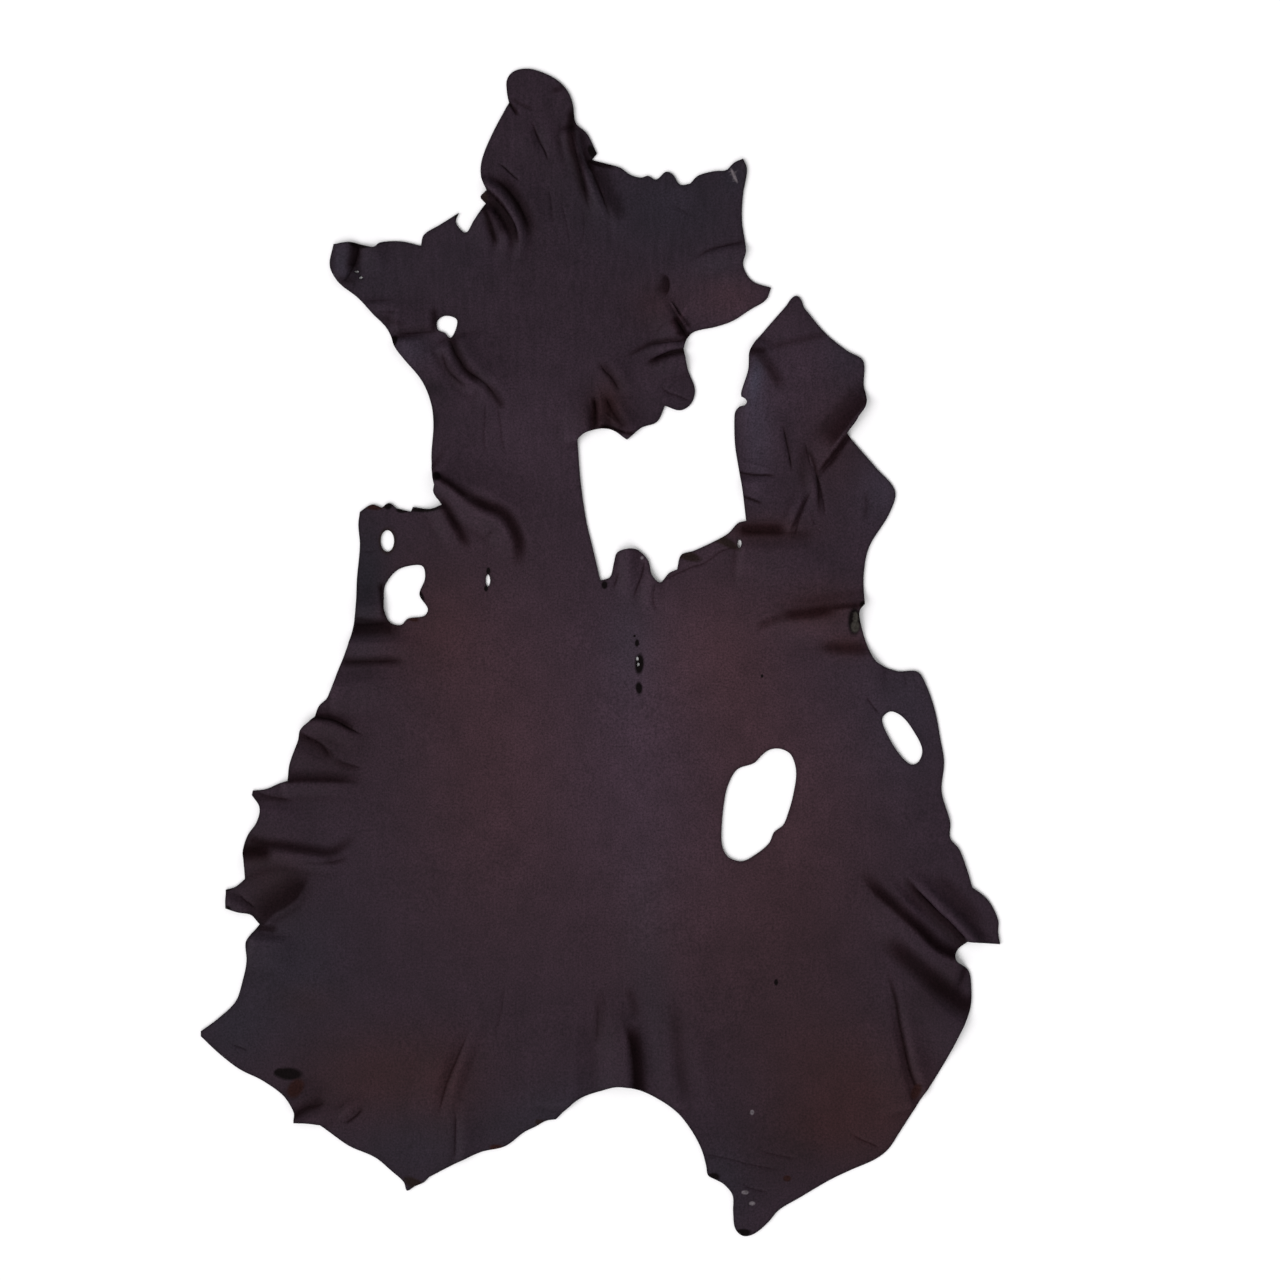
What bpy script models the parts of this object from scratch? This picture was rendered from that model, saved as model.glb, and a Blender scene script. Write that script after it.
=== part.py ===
"""A tanned and dyed hide, laid out flat with its grain side up and its neck away from the viewer.

Metres, +Z up, +Y towards the head, +X to the animal's right as it lies. The origin is under the
middle of the hide, on the surface that it rests on.

The hide is one sheet of leather. Its rim, its holes and the crests of its folds are given as
places on a square laying-out grid: column to the right, row downwards, from the grid's top left.
"""

import math

import bpy
import numpy as np
from mathutils.geometry import delaunay_2d_cdt

HIDE_LENGTH = 1.46
LEATHER_THICKNESS = 0.0013
LEATHER_COLOUR = (0.038, 0.024, 0.031, 1.0)
LEATHER_ROUGHNESS = 0.5

HEAD_ROW = 69.0
HIND_LEG_ROW = 1235.6
LEFT_TIP_COLUMN = 200.7
RIGHT_TIP_COLUMN = 1000.0
GRID = HIDE_LENGTH / (HIND_LEG_ROW - HEAD_ROW)
MIDDLE_COLUMN = (LEFT_TIP_COLUMN + RIGHT_TIP_COLUMN) / 2
MIDDLE_ROW = (HEAD_ROW + HIND_LEG_ROW) / 2

RIM_STEP = 0.0095
HOLE_STEP = 0.0075
FOLD_STEP = 0.013
PLAIN_STEP = 0.046
NEAREST_POINTS = 0.0062
NEAREST_TO_RIM = 0.0045
FADE_LENGTH = 0.032
CURVE_PARTS = 8

# The rim runs clockwise. Each row is one smooth stretch from a corner to the next row's corner.
RIM_STRETCHES = [
    ("crown", [(509, 103), (507, 93), (507, 80), (514, 71.5), (528, 69), (543, 73), (558, 81),
               (568, 92), (573, 105), (576, 124), (587, 134)]),
    ("cheek", [(597, 154)]),
    ("right ear", [(592, 160), (606, 164), (620, 168), (630, 175), (641, 178), (648, 176),
                   (656, 180), (666, 172), (673, 175), (680, 185)]),
    ("right nape", [(690, 184), (698, 176), (714, 171.5), (726, 170.5), (734, 163)]),
    ("right neck side", [(743, 159), (747, 170), (743, 195), (742, 222), (746, 251), (743, 265),
                         (752, 281)]),
    ("right neck lobe", [(771, 288), (766, 300), (750, 310), (733, 321), (716, 327), (694, 332),
                         (687, 339)]),
    ("throat", [(683.5, 348.5), (688, 370), (695, 390), (691, 404), (680, 410.5)]),
    ("throat lobe", [(665, 406), (657, 422), (641, 428)]),
    ("throat hem", [(627, 439.5), (612, 430), (600, 429), (586, 432.5)]),
    ("knife cut", [(577.5, 439.5), (580.5, 480), (586, 519), (592, 545)]),
    ("brisket nub", [(600.5, 580.5), (610, 577), (614, 563), (618, 552), (635, 549), (648, 560),
                     (652, 575), (660, 582.5), (669, 573)]),
    ("brisket", [(677, 569.5), (681, 555), (693, 551), (713, 542), (728, 533.5), (738, 523)]),
    ("right foreleg, inner", [(746, 521), (742.5, 492), (738.5, 468), (735, 445), (735, 415),
                              (740, 408)]),
    ("right foreleg, tip", [(747, 404), (741, 395), (748, 370), (750, 350), (766, 329),
                            (789, 305)]),
    ("right foreleg, outer", [(796, 296), (804, 309), (825, 333), (847, 351), (863, 361),
                              (863.5, 385), (866, 404), (858, 417)]),
    ("right elbow", [(846, 433), (856, 445), (876, 468), (895, 491), (889, 514), (869, 547),
                     (863.5, 576)]),
    ("right belly", [(864.5, 604), (859, 611), (861, 626), (869, 650), (878, 663), (897, 671),
                     (917, 671.5), (926, 685), (935, 711), (940.5, 740), (944, 762), (941.5, 792),
                     (950, 822), (950, 838), (959, 849), (967, 870)]),
    ("right flank", [(972, 887), (988, 900), (998, 920), (998, 932)]),
    ("right flank nick", [(1000, 944), (985, 943)]),
    ("right hind leg", [(967, 941), (957, 950), (955, 959), (968, 970), (971, 985), (970, 1008),
                        (960, 1032), (941, 1068), (916, 1106), (900, 1131), (888, 1149),
                        (875, 1159), (850, 1170), (829, 1180), (800, 1197), (779, 1209.5),
                        (768, 1222), (754, 1233.5), (743, 1235.6), (735, 1228), (733, 1212),
                        (732.5, 1195), (724, 1184)]),
    ("rump arch", [(716, 1179.5), (708, 1175), (706, 1165), (701, 1148), (690, 1128), (675, 1110),
                   (657, 1098), (637, 1089), (618, 1086), (601, 1090.5), (580, 1098),
                   (565, 1110)]),
    ("left rump", [(556, 1119), (546, 1120.5), (536, 1126), (524, 1132), (505, 1146), (480, 1152),
                   (450, 1166)]),
    ("left hind leg", [(429, 1177), (424, 1182), (415, 1186), (407, 1190.5), (404, 1182),
                       (392, 1171), (375, 1157), (350, 1146), (330, 1132)]),
    ("left hind leg, step", [(320, 1124.5), (308, 1123)]),
    ("left hind leg, outer", [(294, 1123), (293, 1109), (283, 1095), (262, 1080), (240, 1069),
                              (219, 1053)]),
    ("left hock", [(201, 1036)]),
    ("left flank", [(201, 1031), (218, 1018.5), (236, 1001), (243, 980), (247, 960), (246, 943),
                    (250, 936)]),
    ("left tag, lower", [(260, 924), (251, 914.5), (238, 912)]),
    ("left tag, end", [(226, 908)]),
    ("left tag, upper", [(226, 889.5), (235, 887)]),
    ("left belly", [(245, 879), (244.5, 862), (243, 851), (248, 835), (257, 822), (260, 808)]),
    ("left belly tip", [(252, 795)]),
    ("left belly, upper", [(253, 790.5), (266, 789), (279, 783.5)]),
    ("left rib", [(288, 781), (289.5, 765), (298, 741), (301, 729)]),
    ("left side", [(315, 717), (319, 706), (328, 697), (338, 671), (351, 637), (356, 608),
                   (357, 580), (360, 545), (358.5, 525)]),
    ("left shoulder strap", [(360, 512), (372, 504.5)]),
    ("left shoulder bump", [(382, 508), (389, 503)]),
    ("left shoulder, middle", [(397, 508.5)]),
    ("left shoulder, nick", [(411, 512)]),
    ("left shoulder, top", [(413, 507), (430, 509)]),
    ("left shoulder notch", [(442, 505), (434, 492)]),
    ("left neck", [(435, 485), (432.5, 472), (431.5, 455), (433.5, 425), (431, 403), (422, 381),
                   (403, 358), (395.5, 348), (388, 330), (373, 314), (358, 298), (340, 283.5),
                   (330, 266)]),
    ("left foreleg, top", [(334, 244.5), (352, 243), (374, 247.5), (380, 243), (400, 241.5)]),
    ("left foreleg, horn", [(421, 246), (424, 235), (440, 225)]),
    ("left foreleg, gap", [(459, 213), (456, 223), (466, 233), (474, 221)]),
    ("left ear nick", [(486, 204), (480.5, 197)]),
    ("left ear", [(487, 190.5), (481, 176), (482, 160), (492, 135)]),
]

# Closed smooth loops, for the holes that aren't round or oval.
HOLE_LOOPS = [
    ("neck hole", [(437, 322), (438, 330), (445, 333), (450.5, 338.5), (456, 329), (457, 320),
                   (451, 316.5), (443, 316.5)]),
    ("belly hole", [(882, 719), (888, 736), (900, 755), (911, 764.5), (919, 761), (922, 749),
                    (914, 732), (902, 716.5), (890, 711.5)]),
    ("side hole", [(770, 749.5), (781, 749), (791, 755), (796, 772), (793, 795), (788, 813),
                   (783, 825), (774, 832), (769, 843), (756, 854), (742, 861), (729, 857.5),
                   (722.5, 847), (721.5, 830), (724, 803), (728, 785), (737, 769.5), (754, 763),
                   (762, 755)]),
    ("strap hole", [(412, 565.5), (397, 570.5), (385.5, 585), (384, 600), (385, 613), (391, 623),
                    (401, 625), (408, 618.5), (424, 616), (428, 609), (419.5, 594.5),
                    (425, 579), (423, 566.5)]),
]

# Oval holes: middle column, middle row, width and height in grid squares.
HOLE_OVALS = [
    ("strap eye", 387.5, 541.0, 13.5, 21.5),
    ("shoulder slit", 488.0, 580.5, 4.4, 12.0),
    ("brisket slit", 739.5, 544.0, 4.0, 8.5),
]

# Folds: crest, from its first to its last place; height; how far the foot lies from the crest on
# the left and on the right hand of someone who walks along it. Sizes are in millimetres.
FOLDS = [
    ("head, left of the crease", [(521, 113), (530, 138), (539, 166)], 4, 7, 15),
    ("head, right of the crease", [(541, 108), (549, 132), (557, 162)], 4, 14, 7),
    ("neck, right ridge", [(571, 126), (580, 158), (590, 182), (600, 208), (609, 238)], 12, 10, 10),
    ("neck, right of the ridge", [(588, 166), (605, 198), (620, 225), (628, 248)], 6, 20, 8),
    ("neck, left of the ridge", [(561, 126), (567, 160), (577, 192), (589, 222)], 5, 8, 22),
    ("neck tuck", [(483, 185), (500, 196), (512, 210), (519, 227), (521, 246), (517, 272)],
     12, 10, 7),
    ("neck, beyond the tuck", [(508, 172), (525, 192), (537, 214), (541, 248)], 6, 30, 15),
    ("neck, inside the tuck", [(482, 206), (497, 220), (506, 238), (503, 268)], 8, 7, 8),
    ("neck, by the ear nick", [(477, 210), (485, 232), (488, 256)], 4, 8, 14),
    ("left foreleg, turned tip", [(338, 240), (337, 258), (342, 284)], 9, 14, 16),
    ("left foreleg, second", [(377, 238), (377, 256), (380, 280)], 6, 18, 14),
    ("left foreleg, crease", [(360, 308), (382, 306), (404, 305)], 4, 9, 9),
    ("left foreleg, above the step", [(388, 322), (410, 324), (438, 322)], 5, 26, 10),
    ("left foreleg, step", [(386, 345), (408, 343), (432, 341)], 9, 8, 26),
    ("neck hole, outer", [(425, 345), (436, 366), (449, 385), (464, 400)], 6, 10, 30),
    ("neck hole, middle", [(446, 340), (451, 358), (458, 372), (470, 382), (482, 388), (490, 418)],
     8, 9, 9),
    ("neck hole, inner", [(463, 334), (468, 354), (477, 366), (491, 374), (503, 390), (514, 420)],
     6, 34, 13),
    ("left shoulder fold", [(428, 484), (445, 490), (462, 503), (482, 516), (500, 528), (510, 545),
                            (512, 572)], 14, 12, 26),
    ("left shoulder, neck side", [(434, 464), (462, 482), (490, 493), (512, 507), (528, 528),
                                  (532, 560)], 9, 42, 16),
    ("left shoulder, outer", [(430, 506), (438, 524), (454, 546)], 5, 14, 26),
    ("strap, above the band", [(346, 606), (366, 606), (390, 608)], 7, 20, 13),
    ("strap, below the band", [(336, 643), (370, 643), (400, 643), (432, 646)], 9, 14, 14),
    ("left side, second", [(326, 686), (360, 684), (395, 679), (424, 676)], 6, 16, 28),
    ("left rib, upper", [(308, 706), (338, 712), (368, 724)], 7, 24, 9),
    ("left rib, middle", [(296, 724), (322, 730), (345, 741), (366, 756)], 10, 9, 9),
    ("left rib, lower", [(288, 744), (312, 757), (336, 770)], 6, 9, 14),
    ("left rib, above the line", [(280, 772), (325, 772), (372, 775)], 6, 10, 8),
    ("left rib, below the line", [(272, 790), (325, 788), (376, 791)], 8, 7, 15),
    ("left belly tip", [(240, 806), (280, 812), (318, 816)], 4, 12, 24),
    ("left belly, upper", [(238, 827), (285, 828), (335, 833)], 8, 24, 16),
    ("left belly, lower", [(234, 869), (275, 862), (310, 860), (352, 851)], 10, 13, 14),
    ("left tag, inner", [(295, 864), (286, 889), (269, 902), (252, 922)], 10, 9, 16),
    ("left tag, flank side", [(316, 872), (309, 897), (290, 912), (266, 932)], 8, 28, 9),
    ("left tag, end", [(222, 896), (238, 904), (254, 914)], 5, 8, 12),
    ("left flank", [(246, 938), (272, 942), (300, 945)], 6, 8, 24),
    ("left hind leg, above the band", [(284, 1110), (303, 1099), (330, 1087)], 7, 18, 11),
    ("left hind leg, below the band", [(292, 1127), (320, 1116), (344, 1104)], 6, 11, 12),
    ("left hind leg, crease", [(334, 1122), (348, 1110), (364, 1098)], 4, 10, 6),
    ("left thigh, left line", [(466, 1008), (445, 1058), (431, 1103), (424, 1132)], 4, 7, 22),
    ("left thigh, right line", [(486, 1008), (463, 1062), (449, 1106), (445, 1134)], 5, 9, 7),
    ("left thigh, rim line", [(467, 1096), (465, 1130), (463, 1176)], 5, 22, 8),
    ("rump, left swell", [(609, 985), (617, 1035), (622, 1068), (623, 1106)], 13, 16, 34),
    ("rump, right swell", [(650, 980), (650, 1035), (653, 1072), (656, 1118)], 13, 26, 18),
    ("rump, outer right", [(694, 990), (699, 1045), (708, 1090), (722, 1130)], 5, 40, 18),
    ("rump, outer left", [(582, 985), (577, 1040), (573, 1112)], 4, 18, 40),
    ("right thigh, left of the line", [(881, 972), (889, 1015), (898, 1060), (912, 1112)],
     4, 6, 22),
    ("right thigh, right of the line", [(898, 972), (907, 1015), (917, 1060), (931, 1104)],
     5, 20, 7),
    ("right flank, below the band", [(890, 964), (922, 998), (950, 1022), (984, 1036)], 8, 20, 44),
    ("right flank, third", [(880, 905), (904, 938), (927, 957), (950, 966), (984, 976)],
     12, 10, 15),
    ("right flank, second", [(896, 884), (924, 909), (942, 926), (964, 952)], 10, 9, 12),
    ("right flank, first", [(906, 862), (936, 889), (957, 909), (984, 948)], 15, 24, 10),
    ("right flank, outer", [(922, 846), (952, 868), (996, 900)], 5, 18, 14),
    ("right belly, above the slit band", [(880, 595), (832, 598), (790, 602), (748, 611)],
     10, 11, 34),
    ("right belly, below the slit band", [(880, 618), (822, 624), (780, 631), (740, 640)],
     10, 34, 12),
    ("right belly, lower", [(884, 671), (846, 667), (806, 662)], 4, 16, 16),
    ("right elbow ridge", [(874, 398), (847, 430), (830, 452), (811, 484)], 11, 9, 22),
    ("right foreleg, long", [(804, 450), (812, 480), (817, 500), (818, 530)], 9, 9, 10),
    ("right foreleg, slanted", [(810, 482), (800, 502), (792, 520), (784, 546)], 8, 9, 14),
    ("right foreleg, inner soft", [(777, 410), (784, 445), (788, 478)], 5, 12, 14),
    ("right foreleg, rim swell", [(762, 338), (752, 366), (749, 400), (749, 440), (752, 468)],
     7, 24, 14),
    ("right foreleg, below the rim crease", [(728, 482), (758, 484), (786, 482)], 6, 8, 18),
    ("right foreleg, root", [(734, 548), (790, 551), (838, 546)], 7, 15, 34),
    ("right neck, below the crease", [(684, 272), (712, 256), (756, 247)], 6, 8, 20),
    ("throat, above the pocket", [(656, 292), (671, 317), (684, 344)], 7, 9, 16),
    ("throat, between the creases", [(640, 352), (664, 348), (696, 344)], 7, 8, 7),
    ("throat, below the creases", [(644, 370), (670, 360), (700, 355)], 7, 7, 18),
    ("throat lobe, upper", [(604, 352), (620, 372), (636, 396)], 6, 20, 9),
    ("throat lobe, left of the trough", [(583, 385), (586, 412), (587, 446)], 8, 8, 20),
    ("throat lobe, right of the trough", [(601, 392), (602, 415), (603, 444)], 8, 8, 7),
    ("throat lobe, outer", [(608, 388), (621, 408), (636, 438)], 7, 18, 9),
    ("brisket nub, middle", [(629, 538), (629, 572), (626, 606)], 7, 11, 10),
    ("brisket nub, right", [(657, 566), (650, 592), (646, 616)], 5, 12, 9),
]


def place(column, row):
    """Metres on the ground of a place on the laying-out grid."""
    return ((column - MIDDLE_COLUMN) * GRID, (MIDDLE_ROW - row) * GRID)


def places(rows):
    """Metres on the ground of several grid places, as an array of two columns."""
    return np.array([place(column, row) for column, row in rows])


def smooth_line(knots, step, closed=False):
    """Points at about even steps on a smooth curve through the knots.

    Each span is a cubic whose tangent at a knot follows the chord between that knot's two
    neighbours, and the curve is then walked along its length in equal steps.
    """
    if closed:
        knots = np.vstack([knots, knots[:1]])
    before = np.vstack([knots[-2:-1] if closed else knots[:1], knots[:-1]])
    after = np.vstack([knots[1:], knots[1:2] if closed else knots[-1:]])
    back = np.linalg.norm(knots - before, axis=1)
    ahead = np.linalg.norm(after - knots, axis=1)
    tangents = (after - before) / (back + ahead)[:, None]
    t = np.linspace(0.0, 1.0, CURVE_PARTS + 1)[:-1, None]
    fine = []
    for first, last, leave, arrive in zip(knots[:-1], knots[1:], tangents[:-1], tangents[1:]):
        span = np.linalg.norm(last - first)
        fine.append((2 * t**3 - 3 * t**2 + 1) * first + (3 * t**2 - 2 * t**3) * last
                    + (t**3 - 2 * t**2 + t) * span * leave + (t**3 - t**2) * span * arrive)
    fine = np.vstack(fine + [knots[-1:]])
    walked = np.append(0.0, np.cumsum(np.linalg.norm(np.diff(fine, axis=0), axis=1)))
    count = max(1, round(walked[-1] / step))
    stations = np.linspace(0.0, walked[-1], count + 1)
    return np.column_stack([np.interp(stations, walked, fine[:, axis]) for axis in (0, 1)])


def rim_loop():
    """The rim as one closed loop: each smooth stretch runs on to the next stretch's corner."""
    loop = []
    for number, (_, rows) in enumerate(RIM_STRETCHES):
        next_corner = RIM_STRETCHES[(number + 1) % len(RIM_STRETCHES)][1][0]
        loop.append(smooth_line(places(rows + [next_corner]), RIM_STEP)[:-1])
    return np.vstack(loop)


def hole_loops():
    """The holes as closed loops: first the uneven ones, then the ovals."""
    loops = [smooth_line(places(rows), HOLE_STEP, closed=True)[:-1] for _, rows in HOLE_LOOPS]
    for _, column, row, width, height in HOLE_OVALS:
        count = max(8, round(math.pi * (width + height) / 2 * GRID / HOLE_STEP))
        turn = np.linspace(0.0, math.tau, count, endpoint=False)
        middle = np.array(place(column, row))
        loops.append(middle + GRID / 2 * np.column_stack([width * np.cos(turn),
                                                          height * np.sin(turn)]))
    return loops


def is_inside(points, loop):
    """Whether each point lies inside a closed loop, by counting the loop's sides to its right."""
    x, y = points[:, :1], points[:, 1:]
    ahead = np.roll(loop, -1, axis=0)
    spans = (loop[:, 1] > y) != (ahead[:, 1] > y)
    rise = np.where(ahead[:, 1] == loop[:, 1], 1.0, ahead[:, 1] - loop[:, 1])
    crossing = loop[:, 0] + (y - loop[:, 1]) * (ahead[:, 0] - loop[:, 0]) / rise
    return np.count_nonzero(spans & (x < crossing), axis=1) % 2 == 1


def on_leather(points, rim, holes):
    """Whether each point lies within the rim and outside every hole."""
    keep = is_inside(points, rim)
    for loop in holes:
        keep &= ~is_inside(points, loop)
    return keep


def fold_height(points):
    """Height of the leather's underside at each point.

    A fold's cross-section is half a cosine wave from its crest to its foot, with a reach of its
    own on either side, and it fades in and out along the crest. Folds that overlap add up.
    """
    total = np.zeros(len(points))
    for _, rows, height, left_reach, right_reach in FOLDS:
        crest = smooth_line(places(rows), FADE_LENGTH / 4)
        start, side = crest[:-1], np.diff(crest, axis=0)
        length = np.linalg.norm(side, axis=1)
        walked = np.append(0.0, np.cumsum(length))
        offset = points[:, None] - start
        share = np.clip((offset * side).sum(axis=2) / length**2, 0.0, 1.0)
        gap = offset - share[:, :, None] * side
        distance = np.linalg.norm(gap, axis=2)
        nearest = distance.argmin(axis=1)
        row = np.arange(len(points))
        leans_left = (side[nearest, 0] * offset[row, nearest, 1]
                      > side[nearest, 1] * offset[row, nearest, 0])
        reach = np.where(leans_left, left_reach, right_reach) / 1000.0
        across = np.clip(distance[row, nearest] / reach, 0.0, 1.0)
        along = walked[nearest] + share[row, nearest] * length[nearest]
        fade = min(FADE_LENGTH, walked[-1] / 2)
        from_end = np.clip(np.minimum(along, walked[-1] - along) / fade, 0.0, 1.0)
        wave = (1.0 + np.cos(math.pi * across)) / 2
        total += height / 1000.0 * wave * from_end**2 * (3 - 2 * from_end)
    return total


def crest_rows():
    """Points on each fold's crest, foot and half-way lines, the crests first."""
    rows = {share: [] for share in (0.0, 0.5, 1.0)}
    for _, knots, _, left_reach, right_reach in FOLDS:
        crest = smooth_line(places(knots), FOLD_STEP)
        along = np.gradient(crest, axis=0)
        along /= np.linalg.norm(along, axis=1)[:, None]
        left = np.column_stack([-along[:, 1], along[:, 0]])
        rows[0.0].append(crest)
        for share in (0.5, 1.0):
            rows[share].append(crest + left * share * left_reach / 1000.0)
            rows[share].append(crest - left * share * right_reach / 1000.0)
    return np.vstack([np.vstack(rows[share]) for share in (0.0, 1.0, 0.5)])


def plain_rows():
    """Wide-set points for the flat leather between the folds, every other row shifted by half."""
    half_width = (RIGHT_TIP_COLUMN - LEFT_TIP_COLUMN) / 2 * GRID
    half_length = HIDE_LENGTH / 2
    columns = np.arange(-half_width, half_width, PLAIN_STEP)
    rows = np.arange(-half_length, half_length, PLAIN_STEP * math.sqrt(0.75))
    x, y = np.meshgrid(columns, rows)
    x[1::2] += PLAIN_STEP / 2
    return np.column_stack([x.ravel(), y.ravel()])


def thinned(points, fixed):
    """The points that keep their distance from the fixed ones and from those kept before them."""
    kept = np.empty((0, 2))
    clear = np.ones(len(points), dtype=bool)
    for number, point in enumerate(points):
        clear[number] = np.linalg.norm(fixed - point, axis=1).min() > NEAREST_TO_RIM
        if clear[number] and len(kept):
            clear[number] = np.linalg.norm(kept - point, axis=1).min() > NEAREST_POINTS
        if clear[number]:
            kept = np.vstack([kept, point])
    return kept


def leather_sheet():
    """The hide's underside: the rim and holes filled with triangles that follow the folds."""
    rim = rim_loop()
    holes = hole_loops()
    loops = [rim] + holes
    edges = []
    first = 0
    for loop in loops:
        numbers = np.arange(first, first + len(loop))
        edges += np.column_stack([numbers, np.roll(numbers, -1)]).tolist()
        first += len(loop)
    fixed = np.vstack(loops)
    inner = np.vstack([crest_rows(), plain_rows()])
    inner = thinned(inner[on_leather(inner, rim, holes)], fixed)
    flat = np.vstack([fixed, inner])
    corners, _, faces, _, _, _ = delaunay_2d_cdt(flat.tolist(), edges, [], 0, 1e-7)
    corners = np.array([tuple(corner) for corner in corners])
    faces = np.array(faces)
    faces = faces[on_leather(corners[faces].mean(axis=1), rim, holes)]
    mesh = bpy.data.meshes.new("hide")
    heights = fold_height(corners)
    mesh.from_pydata(np.column_stack([corners, heights]).tolist(), [], faces.tolist())
    return mesh


def leather_material():
    """Dyed leather: near black, between brown and violet, with a soft gloss."""
    material = bpy.data.materials.new("dyed leather")
    material.use_nodes = True
    shader = material.node_tree.nodes["Principled BSDF"]
    shader.inputs["Base Color"].default_value = LEATHER_COLOUR
    shader.inputs["Roughness"].default_value = LEATHER_ROUGHNESS
    shader.inputs["Metallic"].default_value = 0.0
    return material


def build_hide(collection):
    """The whole hide: the folded sheet, thickened upwards from its underside."""
    hide = bpy.data.objects.new("hide", leather_sheet())
    collection.objects.link(hide)
    hide.data.materials.append(leather_material())
    hide.data.shade_smooth()
    thickness = hide.modifiers.new("leather thickness", "SOLIDIFY")
    thickness.thickness = LEATHER_THICKNESS
    thickness.offset = 1.0
    return hide


def main():
    for stale in list(bpy.data.objects):
        bpy.data.objects.remove(stale, do_unlink=True)
    collection = bpy.data.collections.new("leather hide")
    bpy.context.scene.collection.children.link(collection)
    build_hide(collection)


main()
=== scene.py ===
"""A tanned and dyed hide, laid out flat on a pale floor with its grain side up, seen from above.

Metres, +Z up, +Y towards the head. Places on the hide are given on a square laying-out grid:
column to the right, row downwards, one grid square to GRID metres.
"""

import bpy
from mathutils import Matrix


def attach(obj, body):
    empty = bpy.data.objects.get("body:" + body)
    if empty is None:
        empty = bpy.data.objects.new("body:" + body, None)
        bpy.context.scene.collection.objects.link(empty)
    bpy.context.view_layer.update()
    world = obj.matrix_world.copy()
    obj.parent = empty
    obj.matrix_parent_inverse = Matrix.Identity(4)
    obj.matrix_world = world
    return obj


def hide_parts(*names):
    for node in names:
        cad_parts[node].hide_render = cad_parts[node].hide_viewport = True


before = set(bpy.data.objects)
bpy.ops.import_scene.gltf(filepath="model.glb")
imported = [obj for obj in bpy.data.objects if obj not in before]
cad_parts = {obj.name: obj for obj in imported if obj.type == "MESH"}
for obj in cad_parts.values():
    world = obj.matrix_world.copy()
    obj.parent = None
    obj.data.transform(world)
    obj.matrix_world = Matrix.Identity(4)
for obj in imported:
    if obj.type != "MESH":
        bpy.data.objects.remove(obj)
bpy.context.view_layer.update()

import math

import bpy
import numpy as np
from mathutils.geometry import delaunay_2d_cdt

HIDE_LENGTH = 1.46
LEATHER_THICKNESS = 0.0013

PICTURE_SIZE = 1280
HEAD_ROW = 69.0
HIND_LEG_ROW = 1235.6
LEFT_TIP_COLUMN = 200.7
RIGHT_TIP_COLUMN = 1000.0
GRID = HIDE_LENGTH / (HIND_LEG_ROW - HEAD_ROW)
MIDDLE_COLUMN = (LEFT_TIP_COLUMN + RIGHT_TIP_COLUMN) / 2
MIDDLE_ROW = (HEAD_ROW + HIND_LEG_ROW) / 2
MM = 0.001

# How finely the sheet is cut into triangles: parts of each curve's span, then sizes in metres.
CURVE_PARTS = 8
RIM_STEP = 0.003
RIDGE_STEP = 0.004
LINE_STEP = 0.0028
MARK_STEP = 0.0022
FINEST_LATTICE = 0.0022
KEEP_OFF_LINES = 0.0011
MERGE_WITHIN = 0.0005

# How much of its table's height a fold or a crease rises, and how folds lean and spread.
FOLD_SHARE = 0.75
CREASE_SHARE = 0.45
LEAN_TOWARDS = (0.8, 0.6)
GENTLE_SPREAD = 1.2
STEEP_SPREAD = 0.5

# Over what length a line fades at the rim, and over what share of its length on the leather.
RIM_FADE = 0.012
FOLD_FADE = 0.6
CREASE_FADE = 0.3
BAND_RIM_FADE = 0.002
BAND_FADE = 0.3

# How the shape changes the colour: painted shade in valleys, painted light on crests, a darker
# rim (partly the dark cut edge, partly painted shade) and less gloss where it is matt.
FULL_HOLLOW = 0.0010
VALLEY_PAINTED_SHADE = (0.4, 0.48, 0.5)
CREST_PAINTED_LIGHT = 0.2
RIM_EDGE_AND_PAINTED_SHADE = 0.45
RIM_DARK_REACH = 0.005
MATT_LOSS = 0.7
MATT_SHADE = 1.5

SOFT_CONTACT = 0.0004
SHARP_ANGLE = 62

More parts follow.
